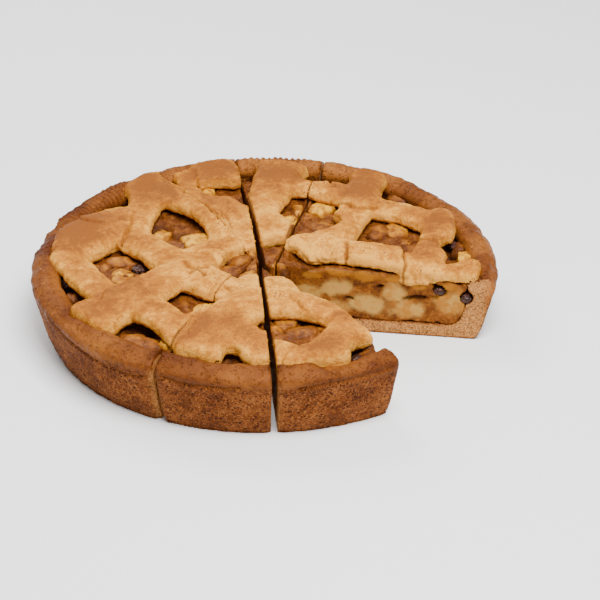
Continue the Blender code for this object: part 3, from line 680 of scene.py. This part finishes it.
def apple_look(pie):
    """Cooked apple: translucent, pale where it is cut and orange where it has taken up juice."""
    look = Look("apple_cooked")
    patch = look.grain(4.5, 3.0, 0.5, 0.5)
    fine = look.grain(1.1, 3.0, 0.6)
    tone = look.sums("ADD", look.layer("tone"), look.spread(patch, 0.32, 0.68, -0.22, 0.22))
    colour = look.steps(tone, (0.06, pie.apple_yellow), (0.36, pie.apple_gold), (0.68, pie.apple_orange),
                        (1.0, pie.apple_brown))
    look.join(colour, look.shader.inputs["Base Color"])
    look.join(look.spread(fine, 0.3, 0.7, 0.24, 0.46), look.shader.inputs["Roughness"])
    look.relief(look.plus(patch, fine, 0.6), 0.7, 1.0)
    look.set({
        "Specular IOR Level": 0.11, "Subsurface Weight": 0.08, "Subsurface Radius": (1.0, 0.6, 0.22),
        "Subsurface Scale": 0.005,
    })
    return look.material


def raisin_look(pie):
    """Raisin: near black with a purple cast, moist and wrinkled."""
    look = Look("raisin_moist")
    patch = look.grain(2.5, 4.0, 0.6, 0.5)
    look.join(look.blend(look.spread(patch, 0.4, 0.65), pie.raisin_black, pie.raisin_purple),
              look.shader.inputs["Base Color"])
    look.join(look.spread(patch, 0.3, 0.7, 0.22, 0.45), look.shader.inputs["Roughness"])
    look.relief(patch, 0.6, 0.5)
    look.set({"Specular IOR Level": 0.22})
    return look.material


def crumb_look(pie):
    """Loose crumbs of pale pastry."""
    look = Look("crumb_pale")
    colour = look.blend(look.spread(look.grain(2.0), 0.35, 0.65), pie.dough_gold, pie.crumb_dark)
    look.join(colour, look.shader.inputs["Base Color"])
    look.relief(look.grain(0.5), 0.5, 0.3)
    look.set({"Roughness": 0.8})
    return look.material


def ribs_at(angle, radius, height):
    """The crimp's ridges across the rim, from -1 to 1, and 0 where the rim is plain."""
    amount = np.zeros(len(angle))
    for start, end in RIBBED:
        inside = smooth_step(angle, start, start + 4.0) * (1.0 - smooth_step(angle, end - 4.0, end))
        amount = np.maximum(amount, inside)
    turn = np.radians(angle) * RIM_RADIUS * 2.0 * math.pi / RIB_PITCH
    wave = np.sin(turn + (RIM_RADIUS - radius) * 0.25)
    top = smooth_step(height, 33.0, 38.0)
    return amount * wave * top


def make_crust(piece, look, pie):
    """The crust of one piece: floor, wall and rim, with their crimp, folds and pores, and painted shade in
    the folds.
    """
    node = f"crust_{piece}"
    obj = fine_copy(node, f"baked_{node}", pie.crust_grid)
    skin = Skin(obj, piece, 0.9)
    skin.smooth(7)
    skin.write()
    points = skin.points
    radius = np.hypot(points[:, 0], points[:, 1])
    angle = np.degrees(np.arctan2(points[:, 1], points[:, 0])) % 360.0
    height = points[:, 2]
    outside = smooth_step(radius, *WALL_STARTS)
    cap = smooth_step(height, *RIM_STARTS) * outside
    bumps = 0.55 * noise_at(points, 16.0, 1) + 0.30 * rough_at(points, 5.0, 2)
    amount = outside * bumps
    wall = outside * (1.0 - cap)
    amount += wall * 0.22 * rough_at(points, 2.4, 3)
    outward = (skin.normals[:, :2] * points[:, :2]).sum(axis=1) / (radius + 1.0)
    inward = 1.0 - smooth_step(outward, -0.2, 0.6)
    thick = RIM_SWELL * inward * smooth_step(radius, 116.0, 122.0) * smooth_step(height, 33.0, 39.0)
    for place_x, place_y, reach in CLEARINGS:
        away = np.hypot(points[:, 0] - place_x, points[:, 1] - place_y)
        thick *= smooth_step(away, reach, 2.0 * reach)
    amount += thick
    amount += cap * (1.0 * noise_at(points, 11.0, 4) + 0.35 * rough_at(points, 3.0, 8))
    amount += cap * pie.rib_depth / MM * 0.5 * ribs_at(angle, radius, height)
    for direction, depth in RIM_NOTCHES:
        near = (angle - direction + 180.0) % 360.0 - 180.0
        amount -= smooth_step(height, 28.0, 38.0) * outside * depth * 0.5 * np.exp(-((near / 0.9) ** 2))
    fold = np.zeros(len(points))
    for line in WALL_FOLDS:
        away, left = measure_to_line(angle * RIM_DEGREE, height, [(a * RIM_DEGREE, z) for a, z in line])
        fold = np.maximum(fold, np.exp(-((away / 1.3) ** 2)))
        lip = np.exp(-((away / 5.0) ** 2)) * smooth_step(height, 26.0, 33.0)
        amount += 0.6 * lip * outside
    amount -= FOLD_DEPTH * fold * outside
    skin.swell(amount)
    pale = np.zeros(len(points))
    for number, side, depth, width, paleness in CORNERS:
        if number == piece:
            spot, out = skin.planes[side - 1]
            near = np.exp(-(((points - spot) @ out / width) ** 2)) * outside
            points[:, :2] *= (1.0 - depth * near / (radius + 1.0))[:, None]
            pale = np.maximum(pale, paleness * near * (1.0 - cap))
    skin.hold()
    skin.roughen_cuts(0.25, 1.6, 5)
    skin.close_cuts(piece)
    skin.write()
    standing = skin.bulge()
    bake = 0.40 + 0.34 * noise_at(points, 22.0, 6) + 0.30 * standing
    bake -= 0.20 * smooth_step(angle, 20.0, 60.0) * (1.0 - smooth_step(angle, 100.0, 150.0))
    bake += 0.16 * smooth_step(angle, 225.0, 250.0)
    for place_x, place_y, reach, more in RIM_DARK:
        bake += more * near_spot(points, place_x, place_y, reach)
    low = smooth_step(height + 2.5 * noise_at(points, 12.0, 7), 31.0, 38.0)
    cut = ((skin.cut == 1) | (skin.cut == 2)).astype(float)
    edge = cut * np.maximum(smooth_step(radius, 132.5, 135.0 + 4.0 * (height > 30.0)),
                            1.0 - smooth_step(height, 0.6, 1.8))
    edge = np.maximum(edge, cut * smooth_step(height, RIM_TOP - 2.2, RIM_TOP - 0.8))
    edge *= 1.0 - pale
    # The fold lines darken the bake as painted shade in their creases.
    skin.paint(bake=bake + 0.3 * fold, rim=low * outside, cut=np.maximum(cut, pale), edge=edge)
    return dress(obj, look, "crust", node)


def make_lattice(piece, look, pie):
    """The lattice of one piece, with its browning, seams, cracks and broken places, and the painted shade of
    its seams.
    """
    node = f"lattice_{piece}_a"
    obj = fine_copy(node, f"baked_{node}", pie.lattice_grid)
    skin = Skin(obj, piece, 0.8)
    ragged = skin.release(GAP_FACES.get(piece, 9))
    skin.smooth(30)
    radius = np.maximum(1.0, np.hypot(skin.points[:, 0], skin.points[:, 1]))
    over = np.maximum(0.0, radius - STRIP_REACH)
    drawn_in = (radius - over + 5.0 * np.tanh(over / 5.0)) / radius
    skin.points[:, :2] *= drawn_in[:, None]
    for place_x, place_y, reach, move_x, move_y in STRETCHES:
        near = near_spot(skin.points, place_x, place_y, reach)
        skin.points[:, :2] += near[:, None] * np.array((move_x, move_y))
    for place_x, place_y, reach in CLEARINGS:
        toward = skin.points[:, :2] - np.array((place_x, place_y))
        away = np.maximum(0.1, np.hypot(toward[:, 0], toward[:, 1]))
        skin.points[:, :2] += toward * (0.8 * np.maximum(0.0, reach - away) / away)[:, None]
    skin.keep_inside()
    skin.hold()
    skin.write()
    points = skin.points
    x, y = points[:, 0], points[:, 1]
    facing = skin.normals[:, 2]
    amount = STRIP_SWELL + TOP_SWELL * smooth_step(facing, 0.3, 0.9)
    amount += END_SWELL * smooth_step(radius, 112.0, 124.0)
    amount += 0.9 * noise_at(points, 13.0, 11) + 0.45 * rough_at(points, 5.0, 12)
    amount += 0.14 * rough_at(points, 1.7, 13)
    side = 1.0 - smooth_step(facing, 0.2, 0.7)
    amount += side * 0.35 * rough_at(points * np.array((1.0, 1.0, 2.5)), 3.0, 14)
    broken = np.zeros(len(points))
    for place_x, place_y, reach, depth in CRUMBLY:
        broken = np.maximum(broken, depth * near_spot(points, place_x, place_y, reach, 1.5))
    rubble = rough_at(points, 2.6, 15)
    amount += broken * (0.9 * rubble + 1.1 * rough_at(points, 6.5, 25) - 0.35)
    crack = np.zeros(len(points))
    wander = 0.9 * noise_at(points, 5.0, 16)
    for line, width, depth, step in SEAMS:
        away, left = measure_to_line(x + wander, y + wander, line)
        crack = np.maximum(crack, depth * np.exp(-((away / width) ** 2)))
        raised = step * np.exp(-((away / 9.0) ** 2)) * smooth_step(facing, 0.0, 0.5)
        amount += np.where(left, raised, -0.4 * raised)
    amount -= SEAM_DEPTH * crack * smooth_step(facing, 0.1, 0.5)
    amount += ragged * (0.9 * rough_at(points, 2.8, 19) - 0.3)
    skin.swell(amount)
    skin.hold()
    skin.roughen_cuts(0.3, 1.6, 17)
    skin.close_cuts(piece)
    skin.write()
    points = skin.points
    bake = 0.34 + 0.12 * smooth_step(radius, 45.0, 110.0) + 0.22 * noise_at(points, 18.0, 18)
    bake += 0.05 * np.clip(points[:, 2] - LATTICE_LEVEL, -3.0, 4.0) + 0.2 * smooth_step(radius, 114.0, 126.0)
    bake -= 0.20 * np.clip(skin.bulge(50), -0.5, 1.4)
    for place_x, place_y, reach, more in BROWNED:
        bake += BROWNING * more * near_spot(points, place_x, place_y, reach)
    bake = bake * smooth_step(skin.normals[:, 2], -0.2, 0.7) - 0.15 * np.clip(broken, 0.0, 1.0)
    cut = np.where(skin.cut > 0, 0.9, 0.0)
    cut = np.maximum(cut, 0.4 * ragged * smooth_step(rubble, -0.3, 0.6))
    cut = np.maximum(cut, 0.2 * smooth_step(broken * (0.6 + rubble), 0.5, 1.2))
    # Painted shade along the seams, darkest where their grooves are deepest.
    dark = smooth_step(crack, 0.5, 1.6) * 0.8
    skin.paint(bake=bake, cut=cut, crack=dark)
    return dress(obj, look, "lattice", node)


def make_jelly(piece, look, pie):
    """The set juice of one piece, sunk a little round its apple and hollowed under some strips, with painted
    shade in those hollows and in the holes of its cut face.
    """
    node = f"filling_{piece}"
    obj = fine_copy(node, f"jelly_{node}", pie.jelly_grid)
    skin = Skin(obj, piece, 2.6)
    skin.smooth(4, hold=False)
    skin.write()
    points = skin.points
    upward = smooth_step(skin.normals[:, 2], 0.2, 0.6)
    sink = np.full(len(points), JUICE_SUNK)
    if piece in GAP_FACES:
        spot, out = skin.planes[GAP_FACES[piece] - 1]
        sink *= smooth_step(-((points - spot) @ out), 3.0, 12.0)
    amount = upward * (1.1 * rough_at(points, 7.0, 21) + 0.9 * rough_at(points, 2.8, 22) - sink)
    skin.swell(amount + 0.8 * (1.0 - upward))
    deep = np.zeros(len(points))
    for place_x, place_y, reach, depth in HOLLOWS:
        deep = np.maximum(deep, depth * near_spot(points, place_x, place_y, reach, 1.4))
    skin.points[:, 2] -= deep * upward
    # Painted shade, darker where the jelly lies deeper under the strips.
    sunk = smooth_step(deep * upward, 2.0, 7.5)
    faced = np.zeros(len(points))
    apple = np.zeros(len(points))
    tone = np.zeros(len(points))
    if piece in GAP_FACES:
        spot, out = skin.planes[GAP_FACES[piece] - 1]
        way = math.radians(PIECES[piece][GAP_FACES[piece]])
        beyond = (skin.points - spot) @ out
        flat = (beyond > -2.2) & (skin.normals[:, 2] < 0.8) & (skin.normals @ out > -0.3)
        far = (skin.points[flat] - spot) @ np.array((math.cos(way), math.sin(way), 0.0))
        high = skin.points[flat, 2]
        wander = 0.40 * rough_at(skin.points[flat], 7.5, 23)
        body = np.zeros(len(far))
        shade = np.zeros(len(far))
        for chunk in CUT_APPLE[piece]:
            inside = smooth_step(oval_reach(far, high, chunk) + wander, 1.2, 0.6)
            shade = np.where(inside > body, chunk[5], shade)
            body = np.maximum(body, inside)
        hole = np.zeros(len(far))
        for chunk in CUT_HOLES[piece]:
            hole = np.maximum(hole, smooth_step(oval_reach(far, high, chunk) + 1.5 * wander, 1.3, 0.6))
        aim = -0.55 + 0.35 * body + 0.3 * rough_at(skin.points[flat], 3.0, 24) * (1.0 - body) - 2.4 * hole
        skin.points[flat] += (aim - beyond[flat])[:, None] * out
        faced[flat] = 1.0
        apple[flat] = body * 0.72
        tone[flat] = shade
        # Painted shade in the holes of the cut face.
        sunk[flat] = hole * 0.7
    skin.close_cuts(piece)
    skin.write()
    skin.paint(faced=faced, apple=apple, tone=tone, deep=sunk)
    return dress(obj, look, "filling", node)


def oval_reach(far, high, chunk):
    """How far out each point lies in an oval on a cut face: 0 at its middle, 1 on its edge."""
    middle_far, middle_high, half_far, half_high, turn = chunk[:5]
    a = math.radians(turn)
    along = (far - middle_far) * math.cos(a) + (high - middle_high) * math.sin(a)
    across = (high - middle_high) * math.cos(a) - (far - middle_far) * math.sin(a)
    return np.hypot(along / half_far, across / half_high)


def apple_form(half_sizes, seed, cuts=6):
    """A cooked apple dice: a cube drawn halfway to a ball, with uneven sides."""
    work = bmesh.new()
    bmesh.ops.create_cube(work, size=2.0)
    bmesh.ops.subdivide_edges(work, edges=work.edges[:], cuts=cuts, use_grid_fill=True)
    offset = Vector((seed * 2.7, seed * 5.3, seed * 9.1))
    for vertex in work.verts:
        ball = vertex.co.normalized() * 1.18
        place = vertex.co.lerp(ball, 0.6)
        place *= 1.0 + 0.26 * noise.noise(place * 1.0 + offset) + 0.08 * noise.noise(place * 2.6 + offset)
        vertex.co = Vector([value * half for value, half in zip(place, half_sizes)])
    return work


def trim(work, piece, inset):
    """Cut a form off at the two cuts of a piece, and close it there."""
    for spot, out in cut_planes(piece):
        place = Vector(spot * MM) - Vector(out) * inset * MM
        found = bmesh.ops.bisect_plane(
            work, geom=work.verts[:] + work.edges[:] + work.faces[:], plane_co=place, plane_no=Vector(out),
            clear_outer=True,
        )
        rim = [item for item in found["geom_cut"] if isinstance(item, bmesh.types.BMEdge)]
        if rim:
            bmesh.ops.holes_fill(work, edges=rim, sides=0)


def make_apple(look):
    """All the apple that shows in the openings."""
    whole = bmesh.new()
    tone_layer = whole.verts.layers.float.new("tone")
    for piece in PIECES:
        for number, (x, y, top, long, wide, turn, tone) in enumerate(TOP_APPLE):
            if in_piece(piece, x, y, -0.6 * wide):
                work = apple_form((long * 1.02, wide * 1.02, DICE_HALF_HEIGHT), number)
                place = Matrix.Translation((x, y, top - APPLE_SUNK - DICE_HALF_HEIGHT))
                place = place @ Matrix.Rotation(math.radians(turn), 4, "Z")
                bmesh.ops.transform(work, matrix=Matrix.Scale(MM, 4) @ place, verts=work.verts)
                trim(work, piece, 0.1)
                add_form(whole, work, tone_layer, tone)
    bmesh.ops.triangulate(whole, faces=whole.faces)
    return dress(object_of(whole, "apple_dice"), look, "filling")


def add_form(whole, work, tone_layer, tone):
    """Add an apple dice to the others, with its tone, which darkens below its crest."""
    copies = {}
    crest = max(vertex.co.z for vertex in work.verts)
    for vertex in work.verts:
        below = min(1.0, (crest - vertex.co.z) / (4.0 * MM))
        copies[vertex.index] = whole.verts.new(vertex.co)
        copies[vertex.index][tone_layer] = tone + 0.45 * below
    for face in work.faces:
        whole.faces.new([copies[vertex.index] for vertex in face.verts])
    work.free()


def make_raisin(node, look):
    """A raisin, wrinkled all over."""
    obj = fine_copy(node, f"wrinkled_{node}", 0.45)
    soften = obj.modifiers.new("Smooth", "SMOOTH")
    soften.iterations = 14
    apply_modifiers(obj)
    mesh = obj.data
    centre = sum((vertex.co for vertex in mesh.vertices), Vector()) / len(mesh.vertices)
    for vertex in mesh.vertices:
        place = (vertex.co - centre) / MM
        fold = abs(noise.noise(place * 0.42 + centre * 40.0))
        crease = 0.75 * min(1.0, fold * 3.2) + 0.25 * noise.noise(place * 0.9)
        shrunk = (vertex.co - centre) * (RAISIN_SHRUNK + 0.18 * crease)
        shrunk.z *= RAISIN_FLATTENED
        vertex.co = centre + shrunk - UP * RAISIN_SUNK * MM
    return dress(obj, look, "raisin", node)


def surface_of(objects):
    """One searchable surface of several meshes."""
    points = []
    faces = []
    for obj in objects:
        start = len(points)
        points.extend(vertex.co.copy() for vertex in obj.data.vertices)
        faces.extend([start + index for index in face.vertices] for face in obj.data.polygons)
    return BVHTree.FromPolygons(points, faces)


def make_crumbs(look, pie, crusts):
    """Loose crumbs on the pie, most of them beside the cuts and the broken places."""
    draw = random.Random(7)
    surface = surface_of(crusts)
    spots = []
    for _ in range(pie.crumb_count):
        kind = draw.random()
        if kind < 0.45:
            x, y, reach, depth = draw.choice(CRUMBLY)
            x += draw.gauss(0.0, reach * 0.7)
            y += draw.gauss(0.0, reach * 0.7)
        elif kind < 0.8:
            tips, start, end = PIECES[draw.choice(list(PIECES))]
            direction = math.radians(start)
            far = draw.uniform(10.0, 130.0)
            side = draw.gauss(0.0, 3.0)
            x = tips[0][0] + far * math.cos(direction) - side * math.sin(direction)
            y = tips[0][1] + far * math.sin(direction) + side * math.cos(direction)
        else:
            far = 134.0 * math.sqrt(draw.random())
            direction = draw.uniform(0.0, 2.0 * math.pi)
            x = far * math.cos(direction)
            y = far * math.sin(direction)
        place, normal = surface.ray_cast(Vector((x * MM, y * MM, CRUMB_FALL)), -UP)[:2]
        if place is not None and place.z > LOWEST_CRUMB * MM and normal.z > 0.3:
            spots.append((place, draw.uniform(0.2, 0.65) ** 1.3 + 0.08))
    for x, y, size in LARGE_CRUMBS:
        place, normal = surface.ray_cast(Vector((x * MM, y * MM, CRUMB_FALL)), -UP)[:2]
        if place is not None:
            spots.append((place, size))
    whole = bmesh.new()
    for number, (place, size) in enumerate(spots):
        made = bmesh.ops.create_icosphere(whole, subdivisions=1, radius=size * MM)
        offset = Vector((number * 3.1, number * 1.7, 0.0))
        for vertex in made["verts"]:
            vertex.co *= 1.0 + 0.45 * noise.noise(vertex.co / MM * 1.3 + offset)
            vertex.co += place + UP * size * MM * 0.4
    return dress(object_of(whole, "loose_crumbs"), look, "crust")


def colour_of(name, description, value):
    """A colour that a user may change."""
    return FloatVectorProperty(
        name=name, description=description, subtype="COLOR", size=3, min=0.0, max=1.0, default=value
    )


class PieLooks(bpy.types.PropertyGroup):
    """The sizes and colours of the pie's looks."""

    crust_grid: FloatProperty(name="Crust grid", description="Face size of the crust, mm", default=1.15)
    lattice_grid: FloatProperty(name="Lattice grid", description="Face size of the lattice, mm", default=0.9)
    jelly_grid: FloatProperty(name="Jelly grid", description="Face size of the jelly, mm", default=1.2)
    rib_depth: FloatProperty(
        name="Rib depth", description="Depth of the crimp on the rim", unit="LENGTH", default=0.0014
    )
    crumb_count: IntProperty(name="Crumbs", description="Number of loose crumbs tried", default=340)
    wall_dark: colour_of("Wall, dark", "Darker places of the wall", (0.068, 0.015, 0.002))
    wall_brown: colour_of("Wall", "Baked wall", (0.16, 0.041, 0.006))
    wall_light: colour_of("Wall, light", "Lighter places of the wall", (0.31, 0.102, 0.022))
    pore: colour_of("Pores", "Small holes in the wall", (0.045, 0.009, 0.002))
    speck: colour_of("Specks", "Light specks in the wall", (0.42, 0.16, 0.045))
    rim_tan: colour_of("Rim, light", "Lighter places of the rim", (0.29, 0.098, 0.017))
    rim_brown: colour_of("Rim", "Baked rim", (0.18, 0.053, 0.008))
    rim_red: colour_of("Rim, dark", "Darkest places of the rim", (0.085, 0.020, 0.003))
    crumb_pale: colour_of("Crumb, pale", "Pastry where it is cut", (0.60, 0.28, 0.085))
    crumb_dark: colour_of("Crumb, dark", "Grain of the cut pastry", (0.34, 0.13, 0.032))
    # Painted shade in the lattice's seams and cracks.
    crack: colour_of("Crack", "Inside of the cracks", (0.16, 0.045, 0.008))
    dough_pale: colour_of("Lattice, pale", "Sides of the strips", (0.72, 0.33, 0.050))
    dough_tan: colour_of("Lattice, tan", "Palest tops", (0.52, 0.20, 0.020))
    dough_gold: colour_of("Lattice, gold", "Golden tops", (0.37, 0.122, 0.014))
    dough_brown: colour_of("Lattice, brown", "Brownest tops", (0.23, 0.073, 0.014))
    jelly_dark: colour_of("Jelly, dark", "Darkest juice", (0.060, 0.015, 0.003))
    jelly_brown: colour_of("Jelly", "Set juice", (0.120, 0.034, 0.006))
    jelly_orange: colour_of("Jelly, orange", "Thin juice", (0.24, 0.078, 0.013))
    jelly_face: colour_of("Cut jelly, light", "Juice at the cuts", (0.28, 0.095, 0.013))
    jelly_face_dark: colour_of("Cut jelly, dark", "Juice at the cuts", (0.17, 0.050, 0.007))
    # Painted shade for the deep places under the strips and the holes in the cut faces.
    hollow_shade: colour_of("Hollow", "Deep places under the strips", (0.030, 0.008, 0.002))
    apple_yellow: colour_of("Apple, yellow", "Palest apple", (0.66, 0.32, 0.020))
    apple_gold: colour_of("Apple, gold", "Golden apple", (0.36, 0.130, 0.005))
    apple_orange: colour_of("Apple, orange", "Orange apple", (0.20, 0.060, 0.008))
    apple_brown: colour_of("Apple, brown", "Brown apple", (0.095, 0.028, 0.007))
    apple_cut: colour_of("Cut apple", "Apple at the cuts", (0.56, 0.31, 0.070))
    apple_cut_warm: colour_of("Cut apple, warm", "Juicier apple at the cuts", (0.40, 0.165, 0.024))
    raisin_black: colour_of("Raisin", "Raisin skin", (0.022, 0.008, 0.005))
    raisin_purple: colour_of("Raisin, light", "Raisin folds", (0.075, 0.026, 0.016))
    floor_white: colour_of("Floor", "Plain floor", (0.90, 0.90, 0.90))


class PieView(bpy.types.PropertyGroup):
    """Where the camera stands, and how strong the lights are."""

    lens: FloatProperty(name="Lens", description="Focal length, mm", default=138.1, min=1.0)
    distance: FloatProperty(name="Distance", description="From the pie's middle", unit="LENGTH", default=1.4)
    height: FloatProperty(
        name="Height", description="Angle above the ground", subtype="ANGLE", default=math.radians(29.91)
    )
    aim: FloatVectorProperty(
        name="Aim", description="Point that the camera looks at", subtype="XYZ", size=3,
        default=(0.0216, 0.0055, 0.0095),
    )
    key: FloatProperty(name="Key light", description="Power of the large light, W", default=52.0)
    sky: FloatProperty(name="Sky", description="Strength of the light all round", default=0.5)


def make_layer(context, make_look, make_piece):
    """Make one layer of every piece, all in one look."""
    pie = context.scene.pie_looks
    look = make_look(pie)
    for piece in PIECES:
        make_piece(piece, look, pie)
    return {"FINISHED"}


class PIE_OT_crust(bpy.types.Operator):
    """Make the crust of every piece"""

    bl_idname = "pie.crust"
    bl_label = "Crust"

    def execute(self, context):
        return make_layer(context, crust_look, make_crust)


class PIE_OT_lattice(bpy.types.Operator):
    """Make the lattice of every piece"""

    bl_idname = "pie.lattice"
    bl_label = "Lattice"

    def execute(self, context):
        return make_layer(context, lattice_look, make_lattice)


class PIE_OT_filling(bpy.types.Operator):
    """Make the set juice of every piece"""

    bl_idname = "pie.filling"
    bl_label = "Filling"

    def execute(self, context):
        return make_layer(context, jelly_look, make_jelly)


class PIE_OT_apple(bpy.types.Operator):
    """Make the apple that shows"""

    bl_idname = "pie.apple"
    bl_label = "Apple"

    def execute(self, context):
        make_apple(apple_look(context.scene.pie_looks))
        return {"FINISHED"}


class PIE_OT_raisins(bpy.types.Operator):
    """Make the raisins that show"""

    bl_idname = "pie.raisins"
    bl_label = "Raisins"

    def execute(self, context):
        look = raisin_look(context.scene.pie_looks)
        for node in RAISIN_NODES:
            make_raisin(node, look)
        return {"FINISHED"}


class PIE_OT_crumbs(bpy.types.Operator):
    """Scatter loose crumbs on the crust and the lattice"""

    bl_idname = "pie.crumbs"
    bl_label = "Crumbs"

    def execute(self, context):
        pie = context.scene.pie_looks
        carriers = [obj for obj in bpy.data.objects if obj.name.startswith("baked_")]
        if not carriers:
            raise RuntimeError("make the crust and the lattice before the crumbs")
        make_crumbs(crumb_look(pie), pie, carriers)
        return {"FINISHED"}


class PIE_OT_stage(bpy.types.Operator):
    """Set the floor, the lights and the camera"""

    bl_idname = "pie.stage"
    bl_label = "Stage"

    def execute(self, context):
        scene = context.scene
        view = scene.pie_view
        make_floor(scene)
        make_lights(scene, view)
        make_camera(scene, view)
        return {"FINISHED"}


def make_floor(scene):
    """A plain pale floor, large enough for any view."""
    work = bmesh.new()
    bmesh.ops.create_grid(work, x_segments=1, y_segments=1, size=FLOOR_SIZE)
    floor = object_of(work, "floor")
    floor.location.z = -FLOOR_GAP
    look = Look("floor_plain")
    look.set({
        "Base Color": (*scene.pie_looks.floor_white, 1.0), "Roughness": 0.9, "Specular IOR Level": 0.1
    })
    floor.data.materials.append(look.material)


def make_lights(scene, view):
    """Soft studio light: a pale sky, a large light above the front and a weaker one behind."""
    world = bpy.data.worlds.new("studio")
    world.use_nodes = True
    sky = world.node_tree.nodes["Background"]
    sky.inputs["Color"].default_value = (1.0, 1.0, 1.0, 1.0)
    sky.inputs["Strength"].default_value = view.sky
    scene.world = world
    for name, place, size, share in LIGHTS:
        data = bpy.data.lights.new(name, "AREA")
        data.shape = "SQUARE"
        data.size = size
        data.energy = view.key * share
        light = bpy.data.objects.new(name, data)
        scene.collection.objects.link(light)
        light.location = place
        light.rotation_euler = (-Vector(place)).to_track_quat("-Z", "Y").to_euler()


def make_camera(scene, view):
    """A camera at the photograph's viewing angle."""
    data = bpy.data.cameras.new("camera")
    data.lens = view.lens
    data.sensor_width = 36.0
    camera = bpy.data.objects.new("camera", data)
    scene.collection.objects.link(camera)
    camera.location = (0.0, -view.distance * math.cos(view.height), view.distance * math.sin(view.height))
    toward = Vector(view.aim) - camera.location
    camera.rotation_euler = toward.to_track_quat("-Z", "Y").to_euler()
    data.clip_end = 20.0
    scene.camera = camera


class PIE_PT_panel(bpy.types.Panel):
    """The pie's steps and values"""

    bl_idname = "PIE_PT_panel"
    bl_label = "Apple pie"
    bl_space_type = "VIEW_3D"
    bl_region_type = "UI"
    bl_category = "Pie"

    def draw(self, context):
        for step in STEPS:
            self.layout.operator(step.bl_idname)
        for group in (context.scene.pie_looks, context.scene.pie_view):
            box = self.layout.box()
            for name in type(group).__annotations__:
                box.prop(group, name)


STEPS = (
    PIE_OT_crust, PIE_OT_lattice, PIE_OT_filling, PIE_OT_apple, PIE_OT_raisins, PIE_OT_crumbs, PIE_OT_stage
)
CLASSES = (PieLooks, PieView, *STEPS, PIE_PT_panel)


def register():
    for item in CLASSES:
        bpy.utils.register_class(item)
    bpy.types.Scene.pie_looks = PointerProperty(type=PieLooks)
    bpy.types.Scene.pie_view = PointerProperty(type=PieView)


def unregister():
    del bpy.types.Scene.pie_view
    del bpy.types.Scene.pie_looks
    for item in reversed(CLASSES):
        bpy.utils.unregister_class(item)


def main():
    """Make the whole pie."""
    register()
    bpy.ops.pie.crust()
    bpy.ops.pie.lattice()
    bpy.ops.pie.filling()
    bpy.ops.pie.apple()
    bpy.ops.pie.raisins()
    bpy.ops.pie.crumbs()
    bpy.ops.pie.stage()


if __name__ == "__main__":
    main()
